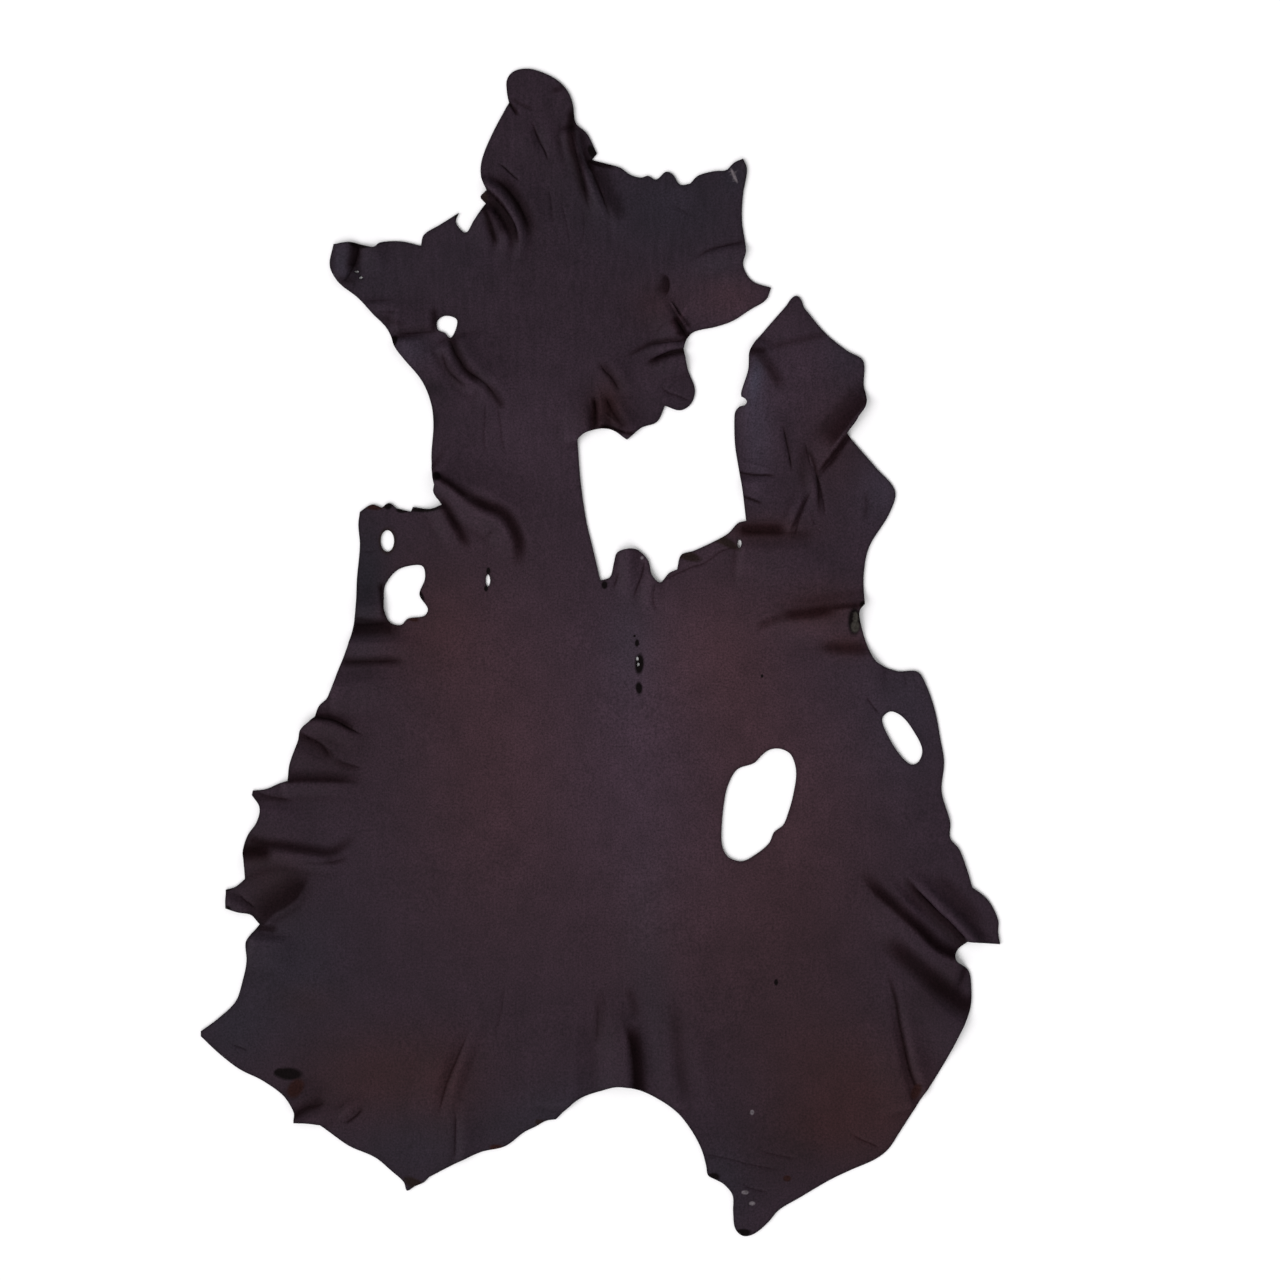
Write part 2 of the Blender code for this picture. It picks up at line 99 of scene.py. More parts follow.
# The rim runs clockwise. Each row is one smooth stretch from a corner to the next row's corner.
RIM_STRETCHES = [
    ("crown", [(509, 103), (507, 93), (507, 80), (514, 71.5), (528, 69), (543, 73), (558, 81),
     (568, 92), (573, 105), (576, 124), (587, 134)]),
    ("cheek", [(597, 154)]),
    ("right ear", [(592, 160), (606, 164), (620, 168), (630, 175), (641, 178), (648, 176),
     (656, 180), (666, 172), (673, 175), (680, 185)]),
    ("right nape", [(690, 184), (698, 176), (714, 171.5), (726, 170.5), (734, 163)]),
    ("right neck side", [(743, 159), (747, 170), (743, 195), (742, 222), (746, 251), (743, 265),
     (752, 281)]),
    ("right neck lobe", [(771, 288), (766, 300), (750, 310), (733, 321), (716, 327), (694, 332),
     (687, 339)]),
    ("throat", [(683.5, 348.5), (688, 370), (695, 390), (691, 404), (680, 410.5)]),
    ("throat lobe", [(665, 406), (657, 422), (641, 428)]),
    ("throat hem", [(627, 439.5), (612, 430), (600, 429), (586, 432.5)]),
    ("knife cut", [(577.5, 439.5), (580.5, 480), (586, 519), (592, 545)]),
    ("brisket nub", [(600.5, 580.5), (610, 577), (614, 563), (618, 552), (635, 549), (648, 560),
     (652, 575), (660, 582.5), (669, 573)]),
    ("brisket", [(677, 569.5), (681, 555), (693, 551), (713, 542), (728, 533.5), (738, 523)]),
    ("right foreleg, inner", [(746, 521), (742.5, 492), (738.5, 468), (735, 445), (734.5, 417),
     (736, 410.5)]),
    ("right foreleg, nick", [(740, 406.5), (745, 405.3), (746.8, 402), (745, 399)]),
    ("right foreleg, tip", [(741.4, 397), (741, 393), (748, 370), (750, 350), (766, 329),
     (786, 306), (791, 299), (796, 295.8), (800.5, 299)]),
    ("right foreleg, outer", [(804, 308), (825, 333), (847, 351), (863, 361), (863.5, 385),
     (866, 404), (858, 417)]),
    ("right elbow", [(846, 433), (856, 445), (876, 468), (895, 491), (889, 514), (869, 547),
     (863.5, 576)]),
    ("right belly", [(864.5, 604), (859, 611), (861, 626), (869, 650), (878, 663), (897, 671),
     (917, 671.5), (926, 685), (935, 711), (940.5, 740), (944, 762), (941.5, 792), (950, 822),
     (950, 838), (959, 849), (967, 870)]),
    ("right flank", [(972, 887), (988, 900), (998, 920), (998, 932)]),
    ("right flank nick", [(1000, 944), (985, 943)]),
    ("right hind leg", [(967, 941), (957, 950), (955, 959), (968, 970), (971, 985), (970, 1008),
     (960, 1032), (941, 1068), (916, 1106), (900, 1131), (888, 1149), (875, 1159), (850, 1170),
     (829, 1180), (800, 1197), (779, 1209.5), (768, 1222), (754, 1233.5), (743, 1235.6),
     (735, 1228), (733, 1212), (732.5, 1195), (724, 1184)]),
    ("rump arch", [(716, 1179.5), (708, 1175), (706, 1165), (701, 1148), (690, 1128), (675, 1110),
     (657, 1098), (637, 1089), (618, 1086), (601, 1090.5), (580, 1098), (565, 1110)]),
    ("left rump", [(556, 1119), (546, 1120.5), (536, 1126), (524, 1132), (505, 1146), (480, 1152),
     (450, 1166)]),
    ("left hind leg", [(429, 1177), (424, 1182), (415, 1186), (407, 1190.5), (404, 1182),
     (392, 1171), (375, 1157), (350, 1146), (330, 1132)]),
    ("left hind leg, step", [(320, 1124.5), (308, 1123)]),
    ("left hind leg, outer", [(294, 1123), (293, 1109), (283, 1095), (262, 1080), (240, 1069),
     (219, 1053)]),
    ("left hock", [(201, 1036)]),
    ("left flank", [(201, 1031), (218, 1018.5), (236, 1001), (243, 980), (247, 960), (246, 943),
     (250, 936)]),
    ("left tag, lower", [(260, 924), (251, 914.5), (238, 912)]),
    ("left tag, end", [(226, 908)]),
    ("left tag, upper", [(226, 889.5), (235, 887)]),
    ("left belly", [(245, 879), (244.5, 862), (243, 851), (248, 835), (257, 822), (260, 808)]),
    ("left belly tip", [(252, 795)]),
    ("left belly, upper", [(253, 790.5), (266, 789), (279, 783.5)]),
    ("left rib", [(288, 781), (289.5, 765), (298, 741), (301, 729)]),
    ("left side", [(315, 717), (319, 706), (328, 697), (338, 671), (351, 637), (356, 608),
     (357, 580), (360, 545), (358.5, 525)]),
    ("left shoulder strap", [(360, 512), (372, 504.5)]),
    ("left shoulder bump", [(382, 508), (389, 503)]),
    ("left shoulder, middle", [(397, 508.5)]),
    ("left shoulder, nick", [(411, 512)]),
    ("left shoulder, top", [(413, 507), (430, 509)]),
    ("left shoulder notch", [(442, 505), (434, 492)]),
    ("left neck", [(435, 485), (432.5, 472), (431.5, 455), (433.5, 425), (431, 403), (422, 381),
     (403, 358), (395.5, 348), (388, 330), (373, 314), (358, 298), (340, 283.5), (330, 266)]),
    ("left foreleg, top", [(334, 244.5), (352, 243), (374, 247.5), (380, 243), (400, 241.5)]),
    ("left foreleg, horn", [(421, 246), (424, 235), (440, 225)]),
    ("left foreleg, gap", [(459, 213), (456, 223), (466, 233), (474, 221)]),
    ("left ear nick", [(486, 204), (480.5, 197)]),
    ("left ear", [(487, 190.5), (481, 176), (482, 160), (492, 135)]),
]

# Closed smooth loops, for the holes that aren't round or oval.
HOLE_LOOPS = [
    ("neck hole", [(437, 322), (438, 330), (445, 333), (450.5, 338.5), (456, 329), (457, 320),
     (451, 316.5), (443, 316.5)]),
    ("belly hole", [(882, 719), (888, 736), (900, 755), (911, 764.5), (919, 761), (922, 749),
     (914, 732), (902, 716.5), (890, 711.5)]),
    ("side hole", [(770, 749.5), (781, 749), (791, 755), (796, 772), (793, 795), (788, 813),
     (783, 825), (774, 832), (769, 843), (756, 854), (742, 861), (729, 857.5), (722.5, 847),
     (721.5, 830), (724, 803), (728, 785), (737, 769.5), (754, 763), (762, 755)]),
    ("strap hole", [(412, 565.5), (397, 570.5), (385.5, 585), (384, 600), (385, 613), (391, 623),
     (401, 625), (408, 618.5), (424, 616), (428, 609), (419.5, 594.5), (425, 579), (423, 566.5)]),
]

# Oval holes: middle column, middle row, width and height in grid squares.
HOLE_OVALS = [
    ("strap eye", 387.5, 541.0, 13.5, 21.5),
    ("shoulder slit", 488.0, 580.5, 4.4, 12.0),
    ("brisket slit", 739.5, 544.0, 4.0, 8.5),
    ("spine pinhole, upper", 637.2, 659.0, 2.4, 4.4),
    ("spine pinhole, lower", 638.2, 664.6, 2.2, 3.6),
    ("foreleg pinhole, upper", 357.0, 272.0, 4.6, 2.0),
    ("foreleg pinhole, lower", 361.0, 278.0, 3.6, 2.6),
]

# Folds: crest, from its first to its last place; height; how far the foot lies from the crest on
# the left and on the right hand of someone who walks along it. Sizes are in millimetres.
FOLDS = [
    ("head, left of the crease", [(521, 113), (530, 138), (539, 166)], 4, 7, 15),
    ("head, right of the crease", [(541, 108), (549, 132), (557, 162)], 4, 14, 7),
    ("neck, right ridge", [(571, 126), (580, 158), (590, 182), (600, 208),
     (609, 238)], 12, 10, 10),
    ("neck, right of the ridge", [(588, 166), (605, 198), (620, 225), (628, 248)], 6, 20, 8),
    ("neck, left of the ridge", [(561, 126), (567, 160), (577, 192), (589, 222)], 5, 8, 22),
    ("neck tuck", [(480, 180), (490, 186), (497, 191), (506, 201), (512, 210), (517, 219),
     (521, 231), (523, 243), (520, 256), (512, 272)], 12, 9, 8),
    ("neck, beyond the tuck", [(508, 172), (525, 192), (537, 214), (541, 248)], 6, 30, 15),
    ("neck, inside the tuck", [(482, 206), (497, 220), (506, 238), (503, 268)], 8, 7, 8),
    ("neck, by the ear nick", [(477, 210), (485, 232), (488, 256)], 4, 8, 14),
    ("left foreleg, turned tip", [(348, 238), (349, 256), (347, 272), (338, 288)], 8, 13, 12),
    ("left foreleg, second", [(377, 238), (377, 256), (380, 280)], 6, 18, 14),
    ("left foreleg, crease", [(360, 308), (382, 306), (404, 305)], 4, 9, 9),
    ("left foreleg, above the step", [(388, 322), (410, 324), (438, 322)], 5, 26, 10),
    ("left foreleg, step", [(386, 345), (408, 343), (432, 341)], 9, 8, 26),
    ("neck hole, outer", [(425, 345), (436, 366), (449, 385), (464, 400)], 6, 10, 30),
    ("neck hole, middle", [(446, 340), (451, 358), (458, 372), (470, 382), (482, 388),
     (490, 418)], 8, 9, 9),
    ("neck hole, inner", [(463, 334), (468, 354), (477, 366), (491, 374), (503, 390),
     (514, 420)], 6, 34, 13),
    ("left shoulder fold", [(428, 472), (438, 480), (450, 488), (462, 498), (474, 507), (488, 515),
     (500, 521), (506, 531), (511, 542), (513, 556), (512, 574)], 14, 12, 14),
    ("left shoulder, neck side", [(434, 464), (462, 482), (490, 493), (512, 507), (528, 528),
     (532, 560)], 9, 42, 16),
    ("left shoulder, outer", [(434, 496), (440, 505), (446, 514), (450, 524), (456, 533),
     (462, 542), (470, 551)], 8, 9, 12),
    ("strap, above the band", [(346, 606), (366, 606), (390, 608)], 7, 20, 13),
    ("strap, below the band", [(336, 643), (370, 643), (400, 643), (432, 646)], 9, 14, 14),
    ("left side, second", [(326, 686), (360, 684), (395, 679), (424, 676)], 6, 16, 28),
    ("left rib, middle", [(296, 717), (312, 721), (326, 723), (338, 726), (350, 732),
     (366, 744)], 11, 12, 12),
    ("left rib, lower", [(288, 744), (312, 757), (336, 770)], 3, 12, 14),
    ("left rib, long line", [(278, 786), (290, 784), (340, 784), (372, 787)], 6, 14, 12),
    ("left belly tip", [(240, 806), (280, 812), (318, 816)], 4, 12, 24),
    ("left belly, lower", [(232, 866), (246, 862), (262, 856), (280, 853), (300, 855), (318, 858),
     (330, 859), (344, 854), (358, 844)], 9, 13, 14),
    ("left tag, inner", [(310, 870), (303, 885), (297, 897), (285, 906), (272, 914),
     (262, 926)], 5, 10, 24),
    ("left tag, end", [(222, 896), (238, 904), (254, 914)], 5, 8, 12),
    ("left flank", [(246, 938), (272, 942), (300, 945)], 6, 8, 24),
    ("left hind leg, above the band", [(284, 1110), (303, 1099), (330, 1087)], 7, 18, 11),
    ("left hind leg, below the band", [(292, 1127), (320, 1116), (344, 1104)], 6, 11, 12),
    ("left hind leg, crease", [(334, 1122), (348, 1110), (364, 1098)], 4, 10, 6),
    ("left thigh, left line", [(466, 1008), (445, 1058), (431, 1103), (424, 1132)], 4, 7, 22),
    ("left thigh, right line", [(486, 1008), (463, 1062), (449, 1106), (445, 1134)], 5, 9, 7),
    ("left thigh, rim line", [(467, 1096), (465, 1130), (463, 1176)], 5, 22, 8),
    ("rump, left swell", [(615, 985), (622, 1020), (626, 1050), (627, 1075),
     (629, 1104)], 13, 22, 22),
    ("rump, right swell", [(664, 990), (668, 1035), (672, 1068), (682, 1112)], 4, 22, 14),
    ("rump, outer right", [(694, 990), (699, 1045), (708, 1090), (722, 1130)], 5, 40, 18),
    ("rump, outer left", [(582, 985), (577, 1040), (573, 1112)], 4, 18, 40),
    ("right thigh, left of the line", [(881, 972), (889, 1015), (898, 1060),
     (912, 1112)], 4, 6, 22),
    ("right thigh, right of the line", [(898, 972), (907, 1015), (917, 1060),
     (931, 1104)], 5, 20, 7),
    ("right flank, fourth", [(876, 948), (890, 962), (902, 972), (918, 985), (935, 1002),
     (950, 1016), (984, 1034)], 9, 20, 30),
    ("right flank, third", [(862, 878), (872, 890), (884, 900), (896, 911), (906, 921), (916, 932),
     (924, 942), (932, 950), (944, 956), (967, 963)], 10, 14, 22),
    ("right flank, second", [(884, 876), (892, 885), (903, 899), (914, 910), (924, 919),
     (936, 931)], 7, 8, 9),
    ("right flank, first", [(900, 862), (914, 877), (928, 891), (942, 905), (955, 918), (970, 934),
     (984, 950)], 13, 12, 10),
    ("right belly, slit band", [(886, 602), (864, 606), (845, 609), (828, 612), (810, 615),
     (792, 617), (772, 621), (750, 628)], 10, 30, 18),
    ("right belly, below the slit band", [(886, 658), (868, 657), (850, 656), (832, 655),
     (812, 652)], 4, 30, 24),
    ("right elbow ridge", [(874, 398), (847, 430), (830, 452), (811, 484)], 11, 9, 22),
    ("right foreleg, long", [(803, 450), (811, 468), (815, 490), (816, 508), (818, 526)], 5, 5, 7),
    ("right foreleg, slanted", [(808, 484), (801, 500), (794, 516), (786, 536)], 5, 6, 7),
    ("right foreleg, inner soft", [(777, 410), (782, 445), (786, 478)], 3, 8, 14),
    ("right foreleg, rim swell", [(762, 338), (752, 366), (749, 400), (749, 440),
     (752, 468)], 7, 24, 14),
    ("right foreleg, below the rim crease", [(728, 482), (758, 484), (786, 482)], 6, 8, 18),
    ("right foreleg, root", [(734, 548), (790, 551), (838, 546)], 7, 15, 34),
    ("right neck, below the crease", [(684, 272), (712, 256), (756, 247)], 6, 8, 20),
    ("throat, above the pocket", [(656, 292), (671, 317), (684, 344)], 7, 9, 16),
    ("throat, between the creases", [(640, 352), (664, 348), (696, 344)], 7, 8, 7),
    ("throat, below the creases", [(644, 370), (670, 360), (700, 355)], 7, 7, 18),
    ("throat lobe, upper", [(604, 352), (620, 372), (636, 396)], 6, 20, 9),
    ("throat lobe, left of the trough", [(583, 385), (586, 412), (587, 446)], 8, 8, 20),
    ("throat lobe, right of the trough", [(601, 392), (602, 415), (603, 444)], 8, 8, 7),
    ("throat lobe, outer", [(608, 388), (621, 408), (636, 438)], 7, 18, 9),
    ("brisket nub, middle", [(629, 538), (629, 572), (626, 606)], 7, 11, 10),
    ("brisket nub, right", [(657, 566), (650, 592), (646, 616)], 5, 12, 9),
]

# Creases: a line pressed into the leather, or raised where the height is above nought; height;
# reach to the left and to the right. Sizes are in millimetres.
CREASES = [
    ("head crease", [(531, 119), (535, 131), (540, 143), (545, 151), (549, 163)], -4, 4, 4),
    ("ear crease", [(497, 162), (505, 168), (513, 176), (522, 184)], -4, 4, 4),
    ("crown tuck", [(508, 102), (513, 109), (517, 117)], -5, 3.5, 3.5),
    ("crown line", [(512, 100), (520, 105), (535, 112)], -1.2, 3.5, 3.5),
    ("crown dip", [(551, 87), (558, 90), (564, 93)], -1.5, 6, 6),
    ("neck ridge, left side", [(571, 130), (578, 160), (584, 185), (588, 205),
     (594, 216)], -3.5, 6, 4),
    ("neck ridge, right side", [(580, 146), (590, 170), (600, 190), (608, 212),
     (614, 223)], -4.5, 4, 7),
    ("cheek pocket", [(587, 160), (597, 165), (608, 169)], -5, 5, 5),
    ("nape dip", [(671, 204), (681, 210), (691, 216)], -1.5, 8, 8),
    ("tuck, inner line", [(487, 189), (500, 203), (510, 215), (517, 230), (517, 247)], -5, 4, 4),
    ("tuck, broad side", [(494, 177), (505, 187), (515, 199), (523, 213), (530, 230)], -4, 8, 6),
    ("tuck, outer line", [(484, 206), (490, 220), (495, 235), (497, 248)], -3, 4, 4),
    ("turned tip, trough", [(359, 242), (358, 255), (353, 268), (346, 280), (339, 286)], -5, 7, 7),
    ("foreleg crease, upper", [(365, 302), (380, 301), (396, 300)], -1.6, 3.5, 3.5),
    ("foreleg crease, lower", [(374, 312), (388, 312), (401, 311)], -1.6, 3.5, 3.5),
    ("foreleg step", [(397, 334), (415, 333), (437, 332)], -4, 4, 4),
    ("nape crease", [(695, 260), (710, 250), (725, 246), (743, 242)], -2.6, 5, 5),
    ("nape hook", [(665, 276), (669, 283), (668, 292), (664, 297)], -3, 3.5, 3.5),
    ("throat pocket, upper", [(670, 299), (680, 315), (688, 331)], -3.5, 4, 4),
    ("throat pocket, deep", [(674, 318), (681, 328), (688, 340)], -4.5, 5, 5),
    ("throat crease, upper", [(649, 345), (668, 343), (688, 341)], -3, 3.5, 3.5),
    ("throat crease, lower", [(649, 361), (660, 355), (670, 351), (685, 348)], -3.5, 3.5, 3.5),
    ("throat curl", [(660, 382), (665, 391), (680, 397), (693, 402)], -2.5, 5, 5),
    ("lobe crease, upper", [(597, 359), (604, 370), (612, 378), (621, 393)], -3.5, 4.5, 4.5),
    ("lobe trough", [(594, 394), (596, 410), (597, 427)], -5, 4.5, 4.5),
    ("lobe hem", [(598, 426), (612, 428), (622, 431), (631, 435)], -5, 5, 5),
    ("lobe crease, inner", [(605, 394), (612, 410), (623, 426)], -3.5, 6, 6),
    ("nub, left trough", [(613, 589), (617, 579), (620, 569)], -3, 5, 5),
    ("nub, right trough", [(645, 559), (642, 575), (636, 590), (634, 601)], -3.5, 4.5, 4.5),
    ("nub, far right", [(655, 580), (653, 600), (658, 613)], -2.5, 5, 6),
    ("brisket, turned-up line", [(664, 580), (690, 568), (705, 563), (720, 552),
     (741, 545)], -2.5, 5, 5),
    ("foreleg rim crease, upper", [(738, 473), (757, 475), (777, 476)], -3, 3.5, 3.5),
    ("foreleg rim crease, lower", [(741, 497), (752, 500), (763, 504)], -2, 3.5, 3.5),
    ("foreleg root, dip", [(742, 531), (775, 533), (812, 531)], -3, 11, 11),
    ("elbow valley", [(870, 411), (852, 434), (832, 461), (814, 482)], -6, 5, 7),
    ("long ridge, right side", [(811, 463), (818, 480), (823, 500), (825, 521)], -4, 4, 5),
    ("slanted ridge, right side", [(813, 487), (806, 502), (799, 520), (794, 538)], -4, 4, 5),
    ("foreleg dip, inner", [(782, 422), (785, 436), (788, 450), (791, 464),
     (792, 476)], -3, 3.5, 3.5),
    ("foreleg dip, outer", [(804, 439), (809, 460), (814, 479)], -2.5, 3.5, 3.5),
    ("foreleg root line", [(811, 519), (816, 527), (823, 534)], -2, 3.5, 3.5),
    ("foreleg corner", [(749, 363), (755, 353), (764, 345)], -3, 5, 5),
    ("belly crease", [(864, 694), (872, 705), (881, 717)], -2.5, 5, 5),
    ("belly dip", [(902, 669), (905, 678), (906, 689)], -1.5, 6, 6),
    ("flank line, first", [(909, 881), (918, 890), (930, 902), (940, 912), (950, 921), (960, 932),
     (969, 941)], -6, 4.5, 4.5),
    ("right thigh line", [(890, 984), (895, 1000), (898, 1015), (903, 1040), (908, 1065),
     (913, 1080), (920, 1096)], -2.2, 5, 5),
    ("right leg crease", [(849, 1132), (860, 1139), (870, 1143), (882, 1149)], -2.6, 4, 4),
    ("right leg line, first", [(699, 1153), (727, 1158), (745, 1163), (765, 1167),
     (792, 1172)], -1.5, 3, 3),
    ("right leg line, second", [(757, 1150), (778, 1155), (801, 1159)], -1.5, 3, 3),
    ("right leg line, third", [(739, 1181), (748, 1187), (758, 1190), (771, 1192)], -1.8, 3, 3),
    ("rump valley, left", [(598, 998), (598, 1025), (596, 1047)], -2, 7, 7),
    ("left thigh, faint line", [(505, 978), (503, 1000), (499, 1020), (494, 1040)], -1.2, 5, 5),
    ("left thigh line, long", [(471, 1023), (465, 1040), (456, 1062), (447, 1083), (440, 1108),
     (435, 1122)], -2.5, 4, 4),
    ("left thigh line, short", [(455, 1108), (456, 1125), (455, 1160)], -2.5, 4, 4),
    ("left leg crease", [(344, 1124), (352, 1119), (360, 1112), (364, 1106)], -3, 3.5, 3.5),
    ("left leg band", [(292, 1120), (300, 1112), (310, 1107), (320, 1105), (327, 1099)], -4, 6, 6),
    ("hock crease", [(231, 1044), (240, 1047), (250, 1051)], -2, 4, 4),
    ("rib line, first", [(314, 716), (325, 719), (335, 721), (345, 726), (355, 731),
     (366, 737)], -5, 4.5, 4.5),
    ("rib line, second", [(301, 732), (310, 738), (318, 742), (325, 748),
     (331, 759)], -4, 4.5, 4.5),
    ("rib line, third", [(339, 761), (352, 765), (366, 769)], -1.2, 4, 4),
    ("belly tip, dip", [(252, 789), (265, 795), (280, 798), (297, 801)], -2.5, 6, 6),
    ("belly band, lower", [(299, 862), (330, 862), (346, 858)], -2.5, 5, 5),
    ("flank crease", [(254, 930), (265, 930), (277, 932)], -3, 5, 5),
    ("tag line", [(237, 892), (245, 900), (252, 905), (258, 911)], -3, 3.5, 3.5),
    ("strap, thin line", [(359, 551), (370, 552), (381, 549)], -1.6, 3, 3),
    ("strap hole, left band", [(384, 577), (381, 596), (384, 616)], -3, 4, 4),
    ("strap valley, upper", [(351, 624), (370, 624), (391, 622)], -4, 9, 9),
    ("strap valley, lower", [(341, 662), (370, 661), (409, 660)], -4, 11, 11),
    ("neck hole valley", [(449, 338), (454, 350), (460, 360), (467, 370), (478, 378), (488, 386),
     (496, 397), (506, 411)], -3.5, 7, 6),
    ("neck hole valley, outer", [(440, 344), (444, 358), (448, 370), (455, 377), (462, 383),
     (471, 391)], -3, 4.5, 4.5),
    ("neck line, left", [(485, 398), (485, 420), (484, 440), (488, 460)], -1.8, 5, 5),
    ("neck line, right", [(495, 398), (500, 420), (502, 440), (507, 457)], -1.8, 5, 5),
    ("lobe ridge", [(597, 384), (600, 398), (601, 412), (599, 430)], 3, 3, 3),
    ("lobe ridge, hem", [(602, 413), (612, 420), (622, 427), (633, 433)], 3, 3, 3),
    ("elbow ridge line", [(864, 409), (848, 428), (835, 446), (822, 463), (812, 478)], 4, 3, 3),
    ("foreleg rim ridge", [(738, 462), (755, 466), (772, 471)], 2.5, 3, 3),
    ("foreleg curl", [(808, 505), (809, 517), (815, 526), (825, 533)], 2.5, 2.5, 2.5),
    ("throat ridge", [(668, 298), (675, 309), (682, 319), (690, 331)], 6, 3.5, 3),
    ("neck line, first", [(548, 185), (551, 205), (553, 230)], -1.5, 3.5, 3.5),
    ("neck line, second", [(560, 200), (566, 222), (570, 246)], -1.5, 3.5, 3.5),
    ("neck line, third", [(582, 205), (584, 228), (580, 250)], -1.2, 3.5, 3.5),
    ("shoulder ridge, upper", [(612, 335), (618, 325), (622, 318)], 1.5, 2.5, 2.5),
    ("throat fan, first", [(655, 335), (662, 326), (668, 320)], -1.5, 3, 3),
]
